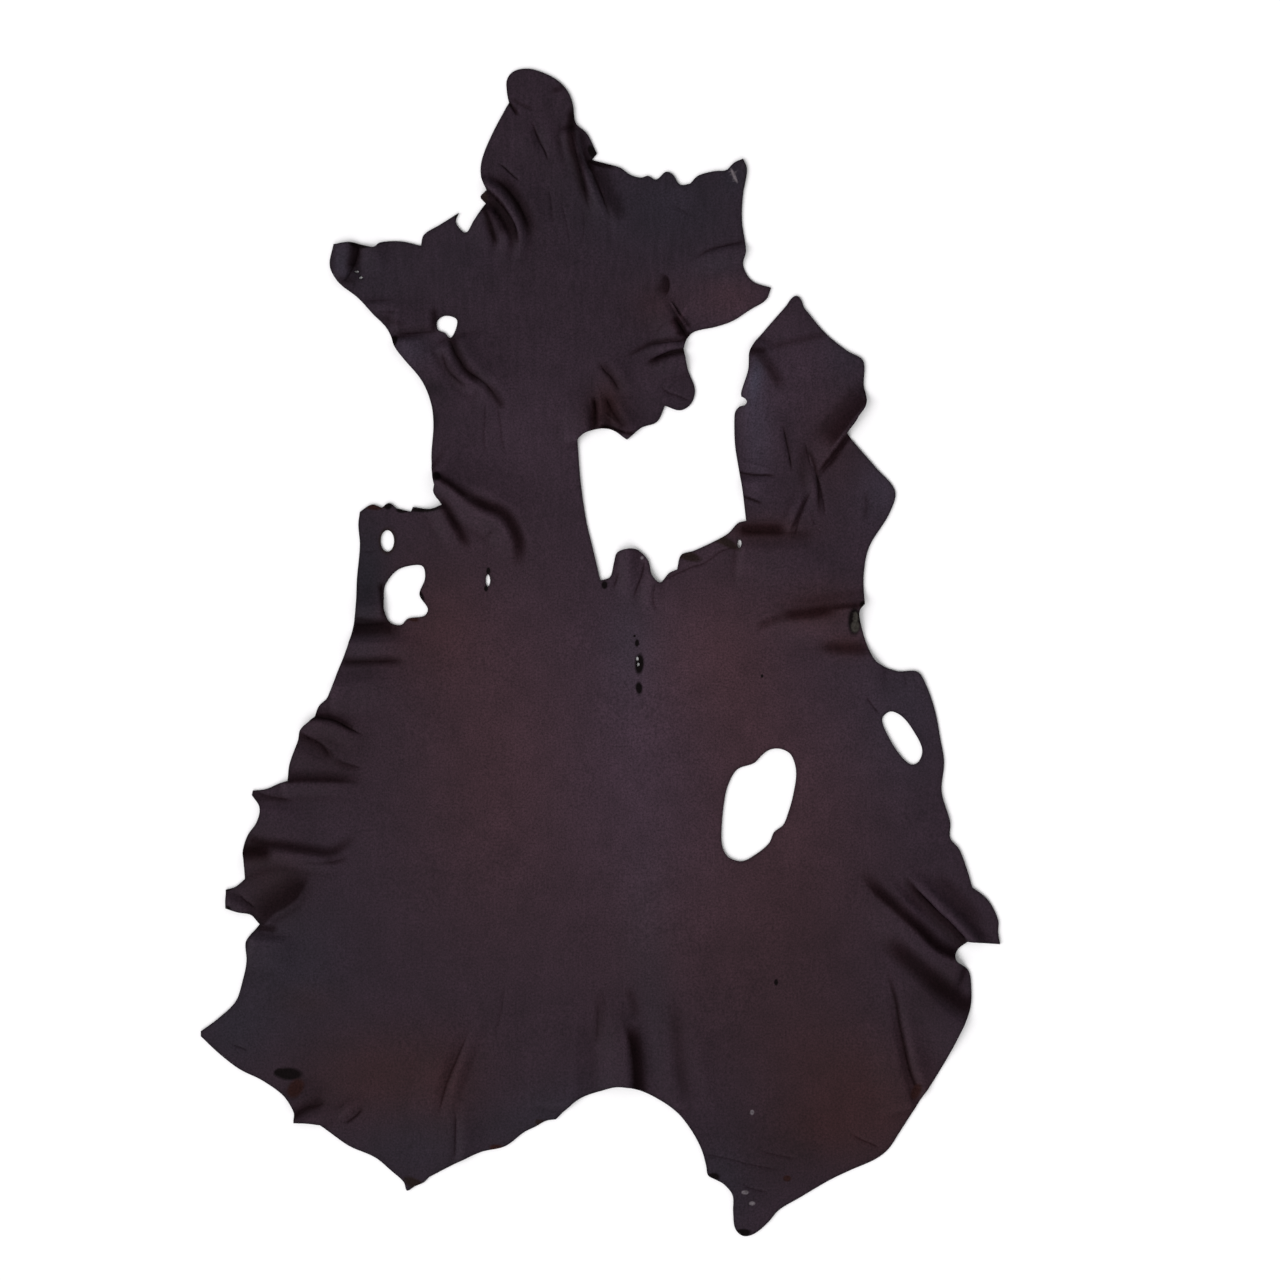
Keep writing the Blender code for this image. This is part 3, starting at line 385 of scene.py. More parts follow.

# Shade bands: painted shade beside a fold, a darker and less glossy colour. A line along the
# darkest part of the band, its reach to the left and right in grid squares, and its strength.
SHADES = [
    ("rump", [(626, 1022), (630, 1040), (633, 1060), (634, 1075), (635, 1092)], 16, 4, 2.9),
    ("rump, upper", [(626, 985), (632, 1000), (636, 1020)], 8, 6, 0.7),
    ("rump, left faint", [(600, 985), (600, 1010), (597, 1050)], 10, 10, 0.45),
    ("rump, right faint", [(672, 990), (676, 1025), (680, 1060), (686, 1090),
     (698, 1106)], 10, 9, 0.45),
    ("slit band, right", [(864, 606), (848, 607), (834, 609), (822, 611)], 3, 6, 1.5),
    ("slit band, middle", [(842, 608), (826, 611), (808, 614), (792, 615), (774, 618)], 9, 9, 1.9),
    ("slit band, left", [(792, 615), (776, 619), (764, 624), (754, 630)], 7, 7, 0.9),
    ("below the slit band", [(866, 650), (850, 649), (832, 648), (816, 646)], 9, 10, 1.3),
    ("flank, first", [(900, 874), (908, 880), (918, 892), (929, 903), (939, 914), (950, 924),
     (961, 936), (966, 941)], 3, 9, 2.3),
    ("flank, first, foot", [(932, 907), (944, 919), (955, 929), (963, 938)], 2, 18, 0.8),
    ("flank, outer", [(928, 870), (942, 882), (956, 895), (968, 908), (978, 920),
     (988, 930)], 11, 11, 0.9),
    ("flank, second", [(857, 868), (870, 885), (879, 895), (891, 905), (905, 918), (917, 929),
     (927, 939), (937, 948), (954, 957)], 13, 5, 2.3),
    ("flank, third", [(880, 932), (898, 949), (918, 966), (936, 981), (948, 991), (960, 1001),
     (970, 1006)], 14, 15, 2.0),
    ("belly band", [(250, 840), (264, 844), (280, 846), (296, 849), (312, 851), (326, 853),
     (338, 850), (350, 841), (362, 834)], 9, 6, 1.4),
    ("belly band, rim", [(242, 851), (256, 851), (275, 852)], 14, 13, 1.7),
    ("belly, short band", [(320, 862), (336, 862), (350, 858)], 6, 4, 0.8),
    ("belly tip", [(252, 797), (270, 799), (292, 801)], 8, 5, 0.8),
    ("tag root", [(310, 869), (304, 884), (297, 896), (286, 905), (272, 913),
     (262, 925)], 4, 30, 1.6),
    ("tag root, line", [(290, 906), (280, 909), (270, 914), (262, 924)], 3, 4, 1.5),
    ("flank crease", [(256, 927), (266, 927), (280, 930)], 5, 5, 1.5),
    ("rib, long line", [(284, 781), (300, 780), (330, 780), (350, 782), (366, 783)], 11, 2, 1.2),
    ("rib, long line, edge", [(288, 781), (300, 780), (330, 780), (348, 781),
     (358, 782)], 4, 4, 1.8),
    ("rib, first line", [(308, 718), (322, 718), (334, 720), (342, 724), (350, 729),
     (358, 735)], 7, 4, 2.0),
    ("rib, second line", [(300, 732), (308, 737), (317, 741), (326, 748), (338, 761)], 3, 12, 1.2),
    ("rib, third line", [(332, 757), (346, 764), (362, 768)], 3, 9, 0.9),
    ("strap, lower band", [(352, 629), (366, 628), (380, 627), (392, 627)], 13, 12, 2.1),
    ("strap, lower band, top", [(356, 619), (368, 620), (382, 622)], 4, 4, 1.4),
    ("side, second band", [(343, 661), (360, 662), (380, 661), (408, 660)], 9, 9, 1.1),
    ("strap hole, left rim", [(380, 585), (383, 600), (384, 615)], 4, 4, 1.6),
    ("shoulder, first start", [(434, 474), (442, 480), (450, 485), (462, 494),
     (474, 502)], 5, 4, 2.2),
    ("shoulder, first band", [(457, 490), (471, 499), (486, 506), (500, 511), (510, 521),
     (516, 533), (519, 545), (518, 557), (515, 572)], 10, 9, 2.1),
    ("shoulder, second band", [(441, 503), (447, 511), (452, 520), (458, 530), (464, 540),
     (472, 549)], 8, 7, 1.7),
    ("neck hole band", [(451, 340), (455, 350), (460, 360), (467, 371), (476, 379),
     (486, 385)], 8, 6, 1.8),
    ("neck hole, lower band", [(482, 382), (491, 390), (498, 400), (505, 412)], 7, 6, 1.2),
    ("neck hole, outer band", [(440, 348), (444, 361), (450, 372), (458, 381),
     (470, 391)], 7, 5, 0.9),
    ("turned tip", [(356, 241), (355, 255), (352, 268)], 10, 8, 2.1),
    ("turned tip, foot", [(338, 280), (345, 282), (353, 279)], 6, 6, 0.9),
    ("foreleg step", [(398, 333), (412, 333), (436, 331)], 11, 2, 0.9),
    ("neck ridge, left", [(573, 112), (572, 135), (574, 150), (578, 161), (581, 172), (584, 184),
     (588, 198), (592, 212)], 5, 8, 2.3),
    ("neck ridge, right", [(580, 146), (585, 158), (590, 168), (597, 187), (604, 202),
     (612, 220)], 8, 2, 1.7),
    ("cheek pocket", [(587, 161), (598, 164), (612, 166)], 4, 5, 2.6),
    ("nape, right of the ridge", [(598, 170), (606, 190), (614, 206), (620, 226)], 14, 12, 0.8),
    ("tuck, inner line", [(488, 190), (497, 198), (503, 205), (509, 214), (514, 224), (518, 236),
     (518, 250)], 2, 10, 2.5),
    ("tuck, inside", [(492, 200), (503, 218), (509, 238)], 10, 14, 1.6),
    ("tuck, broad band", [(491, 175), (503, 186), (513, 198), (521, 212), (527, 226),
     (532, 242)], 14, 5, 1.9),
    ("ear nick band", [(483, 207), (488, 220), (492, 234), (496, 248)], 8, 4, 2.2),
    ("throat hook", [(658, 274), (667, 277), (669, 285), (667, 292), (663, 299)], 2, 17, 1.5),
    ("throat pocket", [(675, 314), (681, 324), (687, 334)], 2, 12, 2.7),
    ("throat pocket, foot", [(674, 333), (682, 335), (690, 336)], 6, 4, 2.2),
    ("throat line", [(673, 304), (680, 315), (690, 327)], 3, 3, 1.2),
    ("throat crease, upper", [(622, 360), (636, 352), (650, 345), (668, 341),
     (688, 340)], 5, 3, 1.3),
    ("throat crease, lower", [(644, 365), (652, 360), (662, 355), (672, 351),
     (687, 348)], 2, 9, 2.3),
    ("lobe crease", [(598, 360), (606, 371), (613, 380), (621, 393)], 8, 6, 1.2),
    ("lobe trough", [(592, 395), (594, 410), (595, 428)], 8, 3, 2.2),
    ("lobe hem", [(600, 427), (612, 428), (622, 432), (633, 434)], 4, 3, 2.2),
    ("lobe, inner band", [(604, 392), (612, 410), (624, 428)], 9, 8, 1.4),
    ("elbow band", [(867, 402), (857, 413), (848, 425), (838, 438), (826, 453)], 2, 28, 1.6),
    ("elbow line", [(847, 434), (836, 449), (826, 462), (816, 476)], 3, 3, 2.0),
    ("elbow, second line", [(844, 450), (835, 460), (828, 470)], 3, 3, 0.8),
    ("foreleg root", [(741, 530), (752, 530), (770, 530), (790, 531)], 10, 9, 2.2),
    ("foreleg root, far", [(784, 534), (800, 535), (815, 533)], 9, 9, 0.6),
    ("foreleg, long line", [(803, 440), (809, 452), (814, 465), (817, 480), (818, 500),
     (820, 520)], 4, 2, 1.5),
    ("foreleg, slanted line", [(807, 492), (801, 505), (795, 520), (788, 535)], 4, 2, 1.3),
    ("foreleg, inner line", [(782, 422), (785, 438), (789, 456), (791, 474)], 4, 2, 1.3),
    ("foreleg, middle", [(806, 440), (803, 465), (805, 490)], 9, 9, 0.6),
    ("left leg band", [(292, 1118), (302, 1110), (314, 1105), (328, 1097)], 12, 7, 1.1),
    ("left leg crease", [(344, 1124), (352, 1119), (360, 1112), (364, 1106)], 3, 3, 1.2),
    ("crown tuck", [(508, 102), (512, 107), (516, 112), (517, 118)], 3, 3, 2.4),
    ("crown dip", [(550, 93), (558, 90), (567, 86)], 6, 4, 0.9),
    ("crown line", [(513, 100), (522, 105), (535, 110)], 3, 3, 0.7),
    ("head crease", [(533, 124), (538, 137), (544, 150), (549, 163)], 2, 2, 1.1),
    ("ear crease", [(499, 163), (508, 171), (521, 183)], 2, 2, 1.2),
    ("foreleg corner", [(749, 350), (757, 351), (768, 353)], 7, 7, 1.8),
    ("foreleg, upper band", [(753, 350), (762, 360), (771, 373), (783, 392)], 12, 6, 1.2),
    ("foreleg tip, band", [(762, 350), (785, 344), (805, 339), (824, 335)], 6, 5, 0.7),
    ("foreleg rim crease, upper", [(739, 472), (750, 474), (766, 475), (778, 476)], 2, 3, 1.8),
    ("foreleg rim crease, lower", [(743, 496), (752, 499), (764, 504)], 2, 3, 2.0),
    ("left of the neck hole", [(434, 306), (435, 318), (433, 331)], 4, 6, 1.3),
    ("foreleg, above the step", [(382, 317), (394, 323), (410, 326)], 5, 5, 0.6),
    ("elbow, faint line", [(865, 488), (866, 503), (864, 522)], 4, 4, 0.6),
    ("right thigh line", [(887, 966), (891, 984), (896, 1002), (899, 1020), (904, 1044),
     (910, 1070), (918, 1092)], 4, 3, 1.7),
    ("left thigh line", [(466, 1034), (456, 1062), (447, 1084), (439, 1112)], 4, 4, 0.5),
]

# Long, low waves of the whole sheet: length in metres, direction in degrees, phase in degrees.
WAVES = [(0.31, 12, 40), (0.23, 71, 200), (0.17, 128, 310), (0.118, 33, 95), (0.093, 99, 15),
         (0.071, 160, 250)]
WAVE_HEIGHT = 0.00022

# Wide, soft patches of tint, some the dye's own unevenness and some painted light and shade
# (see the notes above the rows): middle column and row, half width, half height, turn in
# degrees, tint and strength.
PATCHES = [
    # Partly painted light: the light patches here make the middle brighter than the edges.
    ("body", 640, 750, 250, 220, 0, "light", 1.15),
    ("spine", 640, 750, 30, 190, 0, "light", 0.35),
    ("left middle, light", 500, 760, 100, 170, 0, "light", 0.3),
    ("left middle, warm", 490, 760, 95, 200, 0, "warm", 0.85),
    ("right of the spine, light", 705, 640, 70, 65, 0, "light", 0.7),
    ("right of the spine, warm", 715, 640, 75, 90, 0, "warm", 0.6),
    ("right middle, light", 800, 780, 75, 85, 0, "light", 0.5),
    ("right middle, warm", 800, 800, 90, 110, 0, "warm", 0.5),
    ("lower middle, light", 690, 900, 70, 60, 0, "light", 0.45),
    ("lower middle, warm", 690, 950, 120, 110, 0, "warm", 0.5),
    ("left shoulder, light", 470, 625, 60, 50, 0, "light", 0.4),
    ("left shoulder, warm", 430, 625, 50, 60, 0, "warm", 0.7),
    ("left hind leg", 385, 1075, 85, 45, 5, "warm", 1.3),
    ("right hind leg", 860, 1100, 100, 65, -30, "warm", 1.5),
    # Painted shade beside the folds of the right hind leg's end.
    ("right hind leg end, painted shade", 780, 1150, 50, 35, 0, "brown", 0.4),
    # Painted shade among the left rib's folds.
    ("left rib", 325, 745, 45, 45, 0, "brown", 0.4),
    ("left flank", 285, 960, 60, 70, 0, "cool", 1.0),
    ("left hock", 230, 1030, 40, 40, 0, "cool", 0.9),
    ("left hind leg, end", 410, 1150, 60, 35, 0, "cool", 0.8),
    ("right belly, cool", 905, 715, 50, 80, 0, "cool", 0.8),
    ("right belly, light", 905, 720, 50, 80, 0, "light", 0.3),
    ("elbow, cool", 882, 490, 30, 40, 0, "cool", 0.9),
    ("elbow, light", 882, 490, 30, 40, 0, "light", 0.9),
    ("right foreleg", 790, 370, 60, 60, 0, "light", 0.85),
    # Painted sheen on the right foreleg's rim: the next two rows.
    ("right foreleg rim, cool sheen", 757, 430, 16, 60, 0, "cool", 0.9),
    ("right foreleg rim, painted sheen", 757, 430, 16, 60, 0, "light", 1.4),
    # Painted sheen on the left neck's rim: the next two rows.
    ("left neck rim, cool sheen", 412, 350, 25, 18, 0, "cool", 0.9),
    ("left neck rim, painted sheen", 412, 350, 25, 18, 0, "light", 1.1),
    ("neck foot", 530, 430, 70, 70, 0, "light", 0.7),
    ("neck lobe, light", 730, 298, 42, 30, 0, "light", 1.3),
    ("neck lobe, warm", 730, 298, 42, 30, 0, "warm", 0.6),
    # Painted shade in the throat lobe's hem.
    ("throat hem", 605, 415, 22, 20, 0, "brown", 0.6),
    ("strap", 368, 590, 22, 60, 0, "dark", 0.6),
    ("foreleg root, warm", 765, 530, 45, 14, 0, "warm", 0.9),
    ("slit band, warm", 825, 608, 40, 26, 0, "warm", 1.0),
    ("right body, warm", 740, 720, 60, 120, 0, "warm", 0.4),
    ("right body, warm low", 800, 940, 90, 120, 0, "warm", 0.5),
    ("left belly, warm", 268, 885, 34, 48, 0, "warm", 0.4),
    ("nape, cool", 665, 205, 90, 55, 0, "cool", 1.1),
    ("left foreleg, cool", 372, 272, 45, 45, 0, "cool", 0.7),
    ("turned tip, cool", 340, 262, 12, 22, 0, "cool", 0.8),
    ("turned tip, light", 339, 262, 12, 20, 0, "light", 0.8),
    ("strap, cool", 366, 580, 20, 55, 0, "cool", 1.5),
    ("spine top, cool", 630, 645, 26, 60, 0, "cool", 0.8),
    ("spine, cool", 645, 930, 25, 90, 0, "cool", 0.5),
    ("left rump, cool", 545, 1115, 70, 28, 20, "cool", 0.9),
    ("right leg end, cool", 722, 1185, 28, 45, 0, "cool", 1.0),
    ("right foreleg, cool", 848, 352, 25, 30, 0, "cool", 0.7),
    # Painted sheen on the top of the right foreleg's rim: the next two rows.
    ("foreleg rim top, cool sheen", 755, 378, 8, 25, -10, "cool", 1.2),
    ("foreleg rim top, painted sheen", 755, 378, 8, 25, -10, "light", 1.5),
    ("neck rim, dark", 434, 388, 9, 6, 0, "dark", 1.2),
    ("neck rim, dark low", 434, 420, 4, 8, 0, "dark", 1.5),
    # Painted shade at the foot of the right flank's folds.
    ("flank foot, painted shade", 930, 1005, 40, 50, 0, "dark", 0.3),
    ("throat, warm", 655, 305, 25, 22, 0, "warm", 0.5),
    ("below the slit, warm", 848, 645, 22, 12, 0, "warm", 1.0),
    # Painted shade at the tag's root and by the belly rim: the next two rows.
    ("tag root, painted shade", 278, 882, 32, 26, 0, "brown", 0.5),
    ("belly rim, painted shade", 254, 851, 14, 14, 0, "brown", 0.7),
    ("throat lobe, warm", 607, 402, 16, 22, 0, "warm", 0.9),
    ("right foreleg, warm", 830, 445, 32, 50, 0, "warm", 0.5),
    ("left thigh, warm", 450, 1090, 25, 45, 0, "warm", 0.5),
    ("left flank foot, warm", 305, 1000, 28, 14, 0, "warm", 0.6),
    ("right leg, warm", 820, 1130, 45, 24, -20, "warm", 0.5),
    ("left neck, cool", 460, 250, 42, 50, 0, "cool", 0.4),
    ("nape tip, cool", 735, 175, 14, 18, 0, "cool", 0.8),
    ("nape foot, cool", 722, 268, 25, 12, 0, "cool", 0.6),
    ("spine foot, cool", 655, 1020, 18, 60, 0, "cool", 0.5),
    ("left leg rim, dark", 303, 1088, 18, 35, 0, "dark", 0.5),
    ("neck, dark", 560, 190, 38, 55, 0, "dark", 0.25),
    ("throat, light", 645, 382, 10, 18, 0, "light", 0.4),
    ("throat lobe, light", 601, 388, 7, 12, 0, "light", 0.35),
    # Painted highlight along the throat ridge.
    ("throat ridge, painted highlight", 681, 317, 3, 18, -37, "light", 1.3),
    ("brisket, light", 690, 542, 18, 18, 0, "light", 0.35),
    ("below the slit, light", 825, 631, 30, 8, 0, "light", 0.5),
    # Painted shade beside the right flank's third fold and at the right foreleg's corner: the next
    # two rows.
    ("flank third, painted shade", 938, 985, 34, 18, 40, "brown", 0.35),
    ("foreleg corner, painted shade", 757, 352, 11, 8, 0, "dark", 0.9),
]

# Small marks: middle column and row, width, height, turn in degrees and tone. Some paint
# light and shade, as the notes above their rows say.
MARKS = [
    ("spine mark, upper", 637, 643, 4.2, 7.4, 0, "black"),
    ("spine speck", 634.5, 636, 2.6, 2.6, 0, "black"),
    ("spine mark, middle", 639.4, 664, 8.6, 20, -4, "black"),
    ("spine mark, lower", 639, 688, 6.6, 12, 4, "black"),
    ("left leg scar", 289, 1073.5, 26, 12, -3, "black"),
    ("left leg scar, left end", 280, 1072, 12, 8, 10, "black"),
    ("brisket knob", 604.5, 585, 6, 8, 0, "black"),
    ("speck, right of the spine", 762, 676, 2.6, 3.6, 0, "black"),
    ("speck, right body", 776, 982, 4, 6.4, 0, "black"),
    ("speck, nub", 642, 558, 3, 3, 0, "pale"),
    ("speck, right leg", 752, 1112, 4, 5, 0, "pale"),
    ("scratch, nape", 734, 176, 3, 15, 24, "pale"),
    # Painted sheen: two pale spots near the right hind leg's tip (the next two rows).
    ("right leg tip, upper", 745, 1192, 7, 4, 0, "pale"),
    ("right leg tip, lower", 752, 1203, 6, 4, 0, "pale"),
    ("strap top", 374, 506, 20, 8, -4, "rust"),
    ("strap bump", 388, 506, 8, 7, 0, "black"),
    ("shoulder top, left", 402, 510, 12, 6, 0, "black"),
    ("shoulder top, right", 426, 509, 30, 6, 4, "black"),
    ("strap hole, lower rim", 412, 618, 14, 6, -20, "rust"),
    ("strap hole, nib", 421, 597, 6, 12, 20, "black"),
    ("slit, above", 488.5, 571, 4, 7, 0, "black"),
    ("slit, below", 486, 588.5, 4, 6, 0, "black"),
    # Painted shadow under the curled rim at the left hind leg's tip.
    ("left leg tip", 416, 1184, 26, 10, -28, "umber"),
    ("left rump tip", 498, 1148, 16, 7, -10, "rust"),
    ("left rump bump", 541, 1123, 12, 7, -20, "umber"),
    ("left leg rim", 296, 1088, 14, 20, -35, "rust"),
    ("right thigh line end", 916, 1091, 9, 17, -30, "rust"),
    ("right leg nub", 787, 1178, 8, 6, 0, "rust"),
    ("right leg bump", 713, 1177, 13, 9, 10, "black"),
    # Painted shadow under the curled rim at the right hind leg's end.
    ("right leg end", 743, 1232, 15, 7, 0, "black"),
    ("brisket rim, left", 688, 556, 26, 9, -16, "umber"),
    ("brisket rim, right", 722, 540, 40, 8, -28, "umber"),
    ("cheek rim", 592, 152, 7, 14, 25, "black"),
    ("tag, upper corner", 228, 889, 6, 4, 0, "black"),
    ("tag, lower corner", 228, 908, 7, 5, 0, "black"),
    ("left neck rim, upper", 394, 342, 7, 12, -20, "black"),
    # The elbow slit is painted in, not cut: a black rim and, inside it, painted shade, the floor in
    # shadow seen through the slit (the next three rows).
    ("elbow slit", 854, 621, 12.5, 27, 0, "black"),
    ("elbow slit, inside", 854.8, 626.5, 8, 11, 0, "painted shaded floor"),
    ("elbow slit, inside top", 855, 617.5, 4.6, 11, 0, "painted shaded floor"),
    ("elbow nub", 863.5, 605, 8, 7, 0, "black"),
    ("strap eye, rim", 387.5, 541, 16.5, 24.5, 0, "umber"),
    # Painted shadow beside the turned-over tip of the left foreleg.
    ("turned tip, dark rim", 359, 246, 18, 5, -8, "black"),
    ("horn tip", 457, 216, 5, 7, 0, "black"),
    ("ear nick nub", 484.5, 197, 7, 11, 0, "umber"),
    # Painted shade in the crown's tuck.
    ("crown tuck", 511, 106, 3, 7, 35, "black"),
    ("shoulder fold, corner", 437, 477, 8, 8, 0, "black"),
]

# How a tint changes linear red, green and blue at a strength of one. Besides the dye's own
# unevenness, 'light' and 'cool' also paint light and sheen, 'dark' and 'brown' also paint shade,
# and 'shade' paints shade beside folds.
TINTS = {
    "light": (1.5, 1.5, 1.5),
    "dark": (0.6, 0.6, 0.6),
    "warm": (1.2, 0.95, 0.8),
    "cool": (0.85, 1.08, 1.06),
    "brown": (0.62, 0.5, 0.44),
    "shade": (0.6, 0.53, 0.51),
}

# Tones as linear red, green and blue.
TONES = {
    "violet": (0.0189, 0.0110, 0.0170),
    "black": (0.0035, 0.0022, 0.0024),
    "rust": (0.0180, 0.0070, 0.0065),
    "umber": (0.0140, 0.0085, 0.0080),
    "pale": (0.1000, 0.0860, 0.0950),
    "flesh": (0.0420, 0.0270, 0.0290),
    "cut edge": (0.0240, 0.0150, 0.0160),
    # Painted shade: the floor in shadow, seen through the elbow slit.
    "painted shaded floor": (0.0300, 0.0270, 0.0235),
    "floor": (0.88, 0.88, 0.88),
}


def place(column, row):
    """Metres on the ground of a place on the laying-out grid."""
    return ((column - MIDDLE_COLUMN) * GRID, (MIDDLE_ROW - row) * GRID)


def places(rows):
    """Metres on the ground of several grid places, as an array of two columns."""
    return np.array([place(column, row) for column, row in rows])


def smooth_line(knots, step, closed=False):
    """Points at about even steps on a smooth curve through the knots.

    Each span is a cubic whose tangent at a knot follows the chord between that knot's two
    neighbours, and the curve is then walked along its length in equal steps.
    """
    if closed:
        knots = np.vstack([knots, knots[:1]])
    before = np.vstack([knots[-2:-1] if closed else knots[:1], knots[:-1]])
    after = np.vstack([knots[1:], knots[1:2] if closed else knots[-1:]])
    back = np.linalg.norm(knots - before, axis=1)
    ahead = np.linalg.norm(after - knots, axis=1)
    tangents = (after - before) / (back + ahead)[:, None]
    t = np.linspace(0.0, 1.0, CURVE_PARTS + 1)[:-1, None]
    fine = []
    for first, last, leave, arrive in zip(knots[:-1], knots[1:], tangents[:-1], tangents[1:]):
        span = np.linalg.norm(last - first)
        fine.append((2 * t**3 - 3 * t**2 + 1) * first + (3 * t**2 - 2 * t**3) * last
                    + (t**3 - 2 * t**2 + t) * span * leave + (t**3 - t**2) * span * arrive)
    fine = np.vstack(fine + [knots[-1:]])
    walked = np.append(0.0, np.cumsum(np.linalg.norm(np.diff(fine, axis=0), axis=1)))
    count = max(1, round(walked[-1] / step))
    stations = np.linspace(0.0, walked[-1], count + 1)
    return np.column_stack([np.interp(stations, walked, fine[:, axis]) for axis in (0, 1)])


def rim_loop():
    """The rim as one closed loop: each smooth stretch runs on to the next stretch's corner."""
    loop = []
    for number, (_, rows) in enumerate(RIM_STRETCHES):
        next_corner = RIM_STRETCHES[(number + 1) % len(RIM_STRETCHES)][1][0]
        loop.append(smooth_line(places(rows + [next_corner]), RIM_STEP)[:-1])
    return np.vstack(loop)


def oval(column, row, width, height, turn=0.0, count=24):
    """An ellipse about a grid place: middle + (half width cos t, half height sin t), turned."""
    t = np.linspace(0.0, math.tau, count, endpoint=False)
    flat = np.column_stack([width * np.cos(t), height * np.sin(t)]) * GRID / 2
    cosine, sine = math.cos(math.radians(turn)), math.sin(math.radians(turn))
    return np.array(place(column, row)) + flat @ np.array([[cosine, sine], [-sine, cosine]])


def hole_loops():
    """The holes as closed loops: first the uneven ones, then the ovals."""
    loops = [smooth_line(places(rows), RIM_STEP, closed=True)[:-1] for _, rows in HOLE_LOOPS]
    for _, column, row, width, height in HOLE_OVALS:
        around = math.pi * (width + height) / 2 * GRID
        loops.append(oval(column, row, width, height, count=max(10, round(around / RIM_STEP))))
    return loops


def is_inside(points, loop):
    """Whether each point lies inside a closed loop, by counting the loop's sides to its right.

    The points are sorted by y once, so that each side only looks at those level with it.
    """
    order = np.argsort(points[:, 1])
    heights = points[order, 1]
    inside = np.zeros(len(points), dtype=bool)
    for start, end in zip(loop, np.roll(loop, -1, axis=0)):
        low, high = np.searchsorted(heights, sorted((start[1], end[1])))
        if low < high:
            level = order[low:high]
            share = (points[level, 1] - start[1]) / (end[1] - start[1])
            inside[level] ^= points[level, 0] < start[0] + share * (end[0] - start[0])
    return inside


def on_leather(points, rim, holes):
    """Whether each point lies within the rim and outside every hole."""
    keep = is_inside(points, rim)
    for loop in holes:
        keep &= ~is_inside(points, loop)
    return keep


def beside(points, line, reach):
    """Where the points near a line lie: which they are, how far off, on which side, how far along.

    Each point drops a perpendicular to every leg of the line, held to the leg's ends, and keeps
    the shortest. Only points within reach of the line's bounding box are looked at.
    """
    low, high = line.min(axis=0) - reach, line.max(axis=0) + reach
    near = np.flatnonzero(np.all((points > low) & (points < high), axis=1))
    start, leg = line[:-1], np.diff(line, axis=0)
    length = np.linalg.norm(leg, axis=1)
    walked = np.append(0.0, np.cumsum(length))
    offset = points[near, None] - start
    share = np.clip((offset * leg).sum(axis=2) / length**2, 0.0, 1.0)
    distance = np.linalg.norm(offset - share[:, :, None] * leg, axis=2)
    nearest = distance.argmin(axis=1)
    row = np.arange(len(near))
    turn = leg[nearest, 0] * offset[row, nearest, 1] - leg[nearest, 1] * offset[row, nearest, 0]
    along = walked[nearest] + share[row, nearest] * length[nearest]
    return near, distance[row, nearest], turn > 0.0, along, walked[-1]


def ridge_lines(loops):
    """Every fold and crease as a smooth line with its height, and how it spreads and fades.

    Folds lean towards LEAN_TOWARDS: the foot that they lean away from spreads far out, and the
    other side drops steeply from a sharp crest. A crease stands upright and is sharp on both
    sides. A line fades out over RIM_FADE at an end that lies at the rim or beyond it, and at an
    end on the leather over FOLD_FADE or CREASE_FADE of its length.
    """
    lines = []
    for table, is_crease, share, fade in ((FOLDS, False, FOLD_SHARE, FOLD_FADE),
                                          (CREASES, True, CREASE_SHARE, CREASE_FADE)):
        for _, rows, height, left_reach, right_reach in table:
            line = smooth_line(places(rows), RIDGE_STEP)
            length = np.linalg.norm(np.diff(line, axis=0), axis=1).sum()
            ends = line[[0, -1]]
            at_rim = rim_closeness(ends, loops, RIM_FADE) > 0.0
            at_rim |= ~on_leather(ends, loops[0], loops[1:])
            fades = np.where(at_rim, RIM_FADE, fade * length)
            reaches = np.array([left_reach, right_reach]) * MM
            sharp = np.ones(2)
            if not is_crease:
                ahead = (ends[1] - ends[0]) / np.linalg.norm(ends[1] - ends[0])
                lean = ahead[0] * LEAN_TOWARDS[1] - ahead[1] * LEAN_TOWARDS[0]
                sharp = np.clip([lean, -lean], 0.0, 1.0)
                reaches = reaches * (1.0 + STEEP_SPREAD * sharp + GENTLE_SPREAD * sharp[::-1])
            lines.append((line, height * MM * share, reaches, sharp, fades, is_crease))
    return lines


def folded_height(points, lines):
    """Height of the leather's underside before it is held up by the floor.

    Where s is the share of the reach that a place lies off the line, a round side's profile is
    the square of one minus s squared and a sharp side's is one minus s to the power of 2.5.
    Both fade in and out along the line in smooth steps, and all of them add up.
    """
    total = np.zeros(len(points))
    for line, height, reaches, sharp, fades, _ in lines:
        near, distance, on_left, along, whole = beside(points, line, reaches.max())
        across = np.clip(distance / np.where(on_left, reaches[0], reaches[1]), 0.0, 1.0)
        sharpness = np.where(on_left, sharp[0], sharp[1])
        wave = (1.0 - sharpness) * (1.0 - across**2)**2 + sharpness * (1.0 - across)**2.5
        for from_end, fade in ((along, fades[0]), (whole - along, fades[1])):
            step = np.clip(from_end / fade, 0.0, 1.0)
            wave = wave * step**2 * (3 - 2 * step)
        total[near] += height * wave
    return total


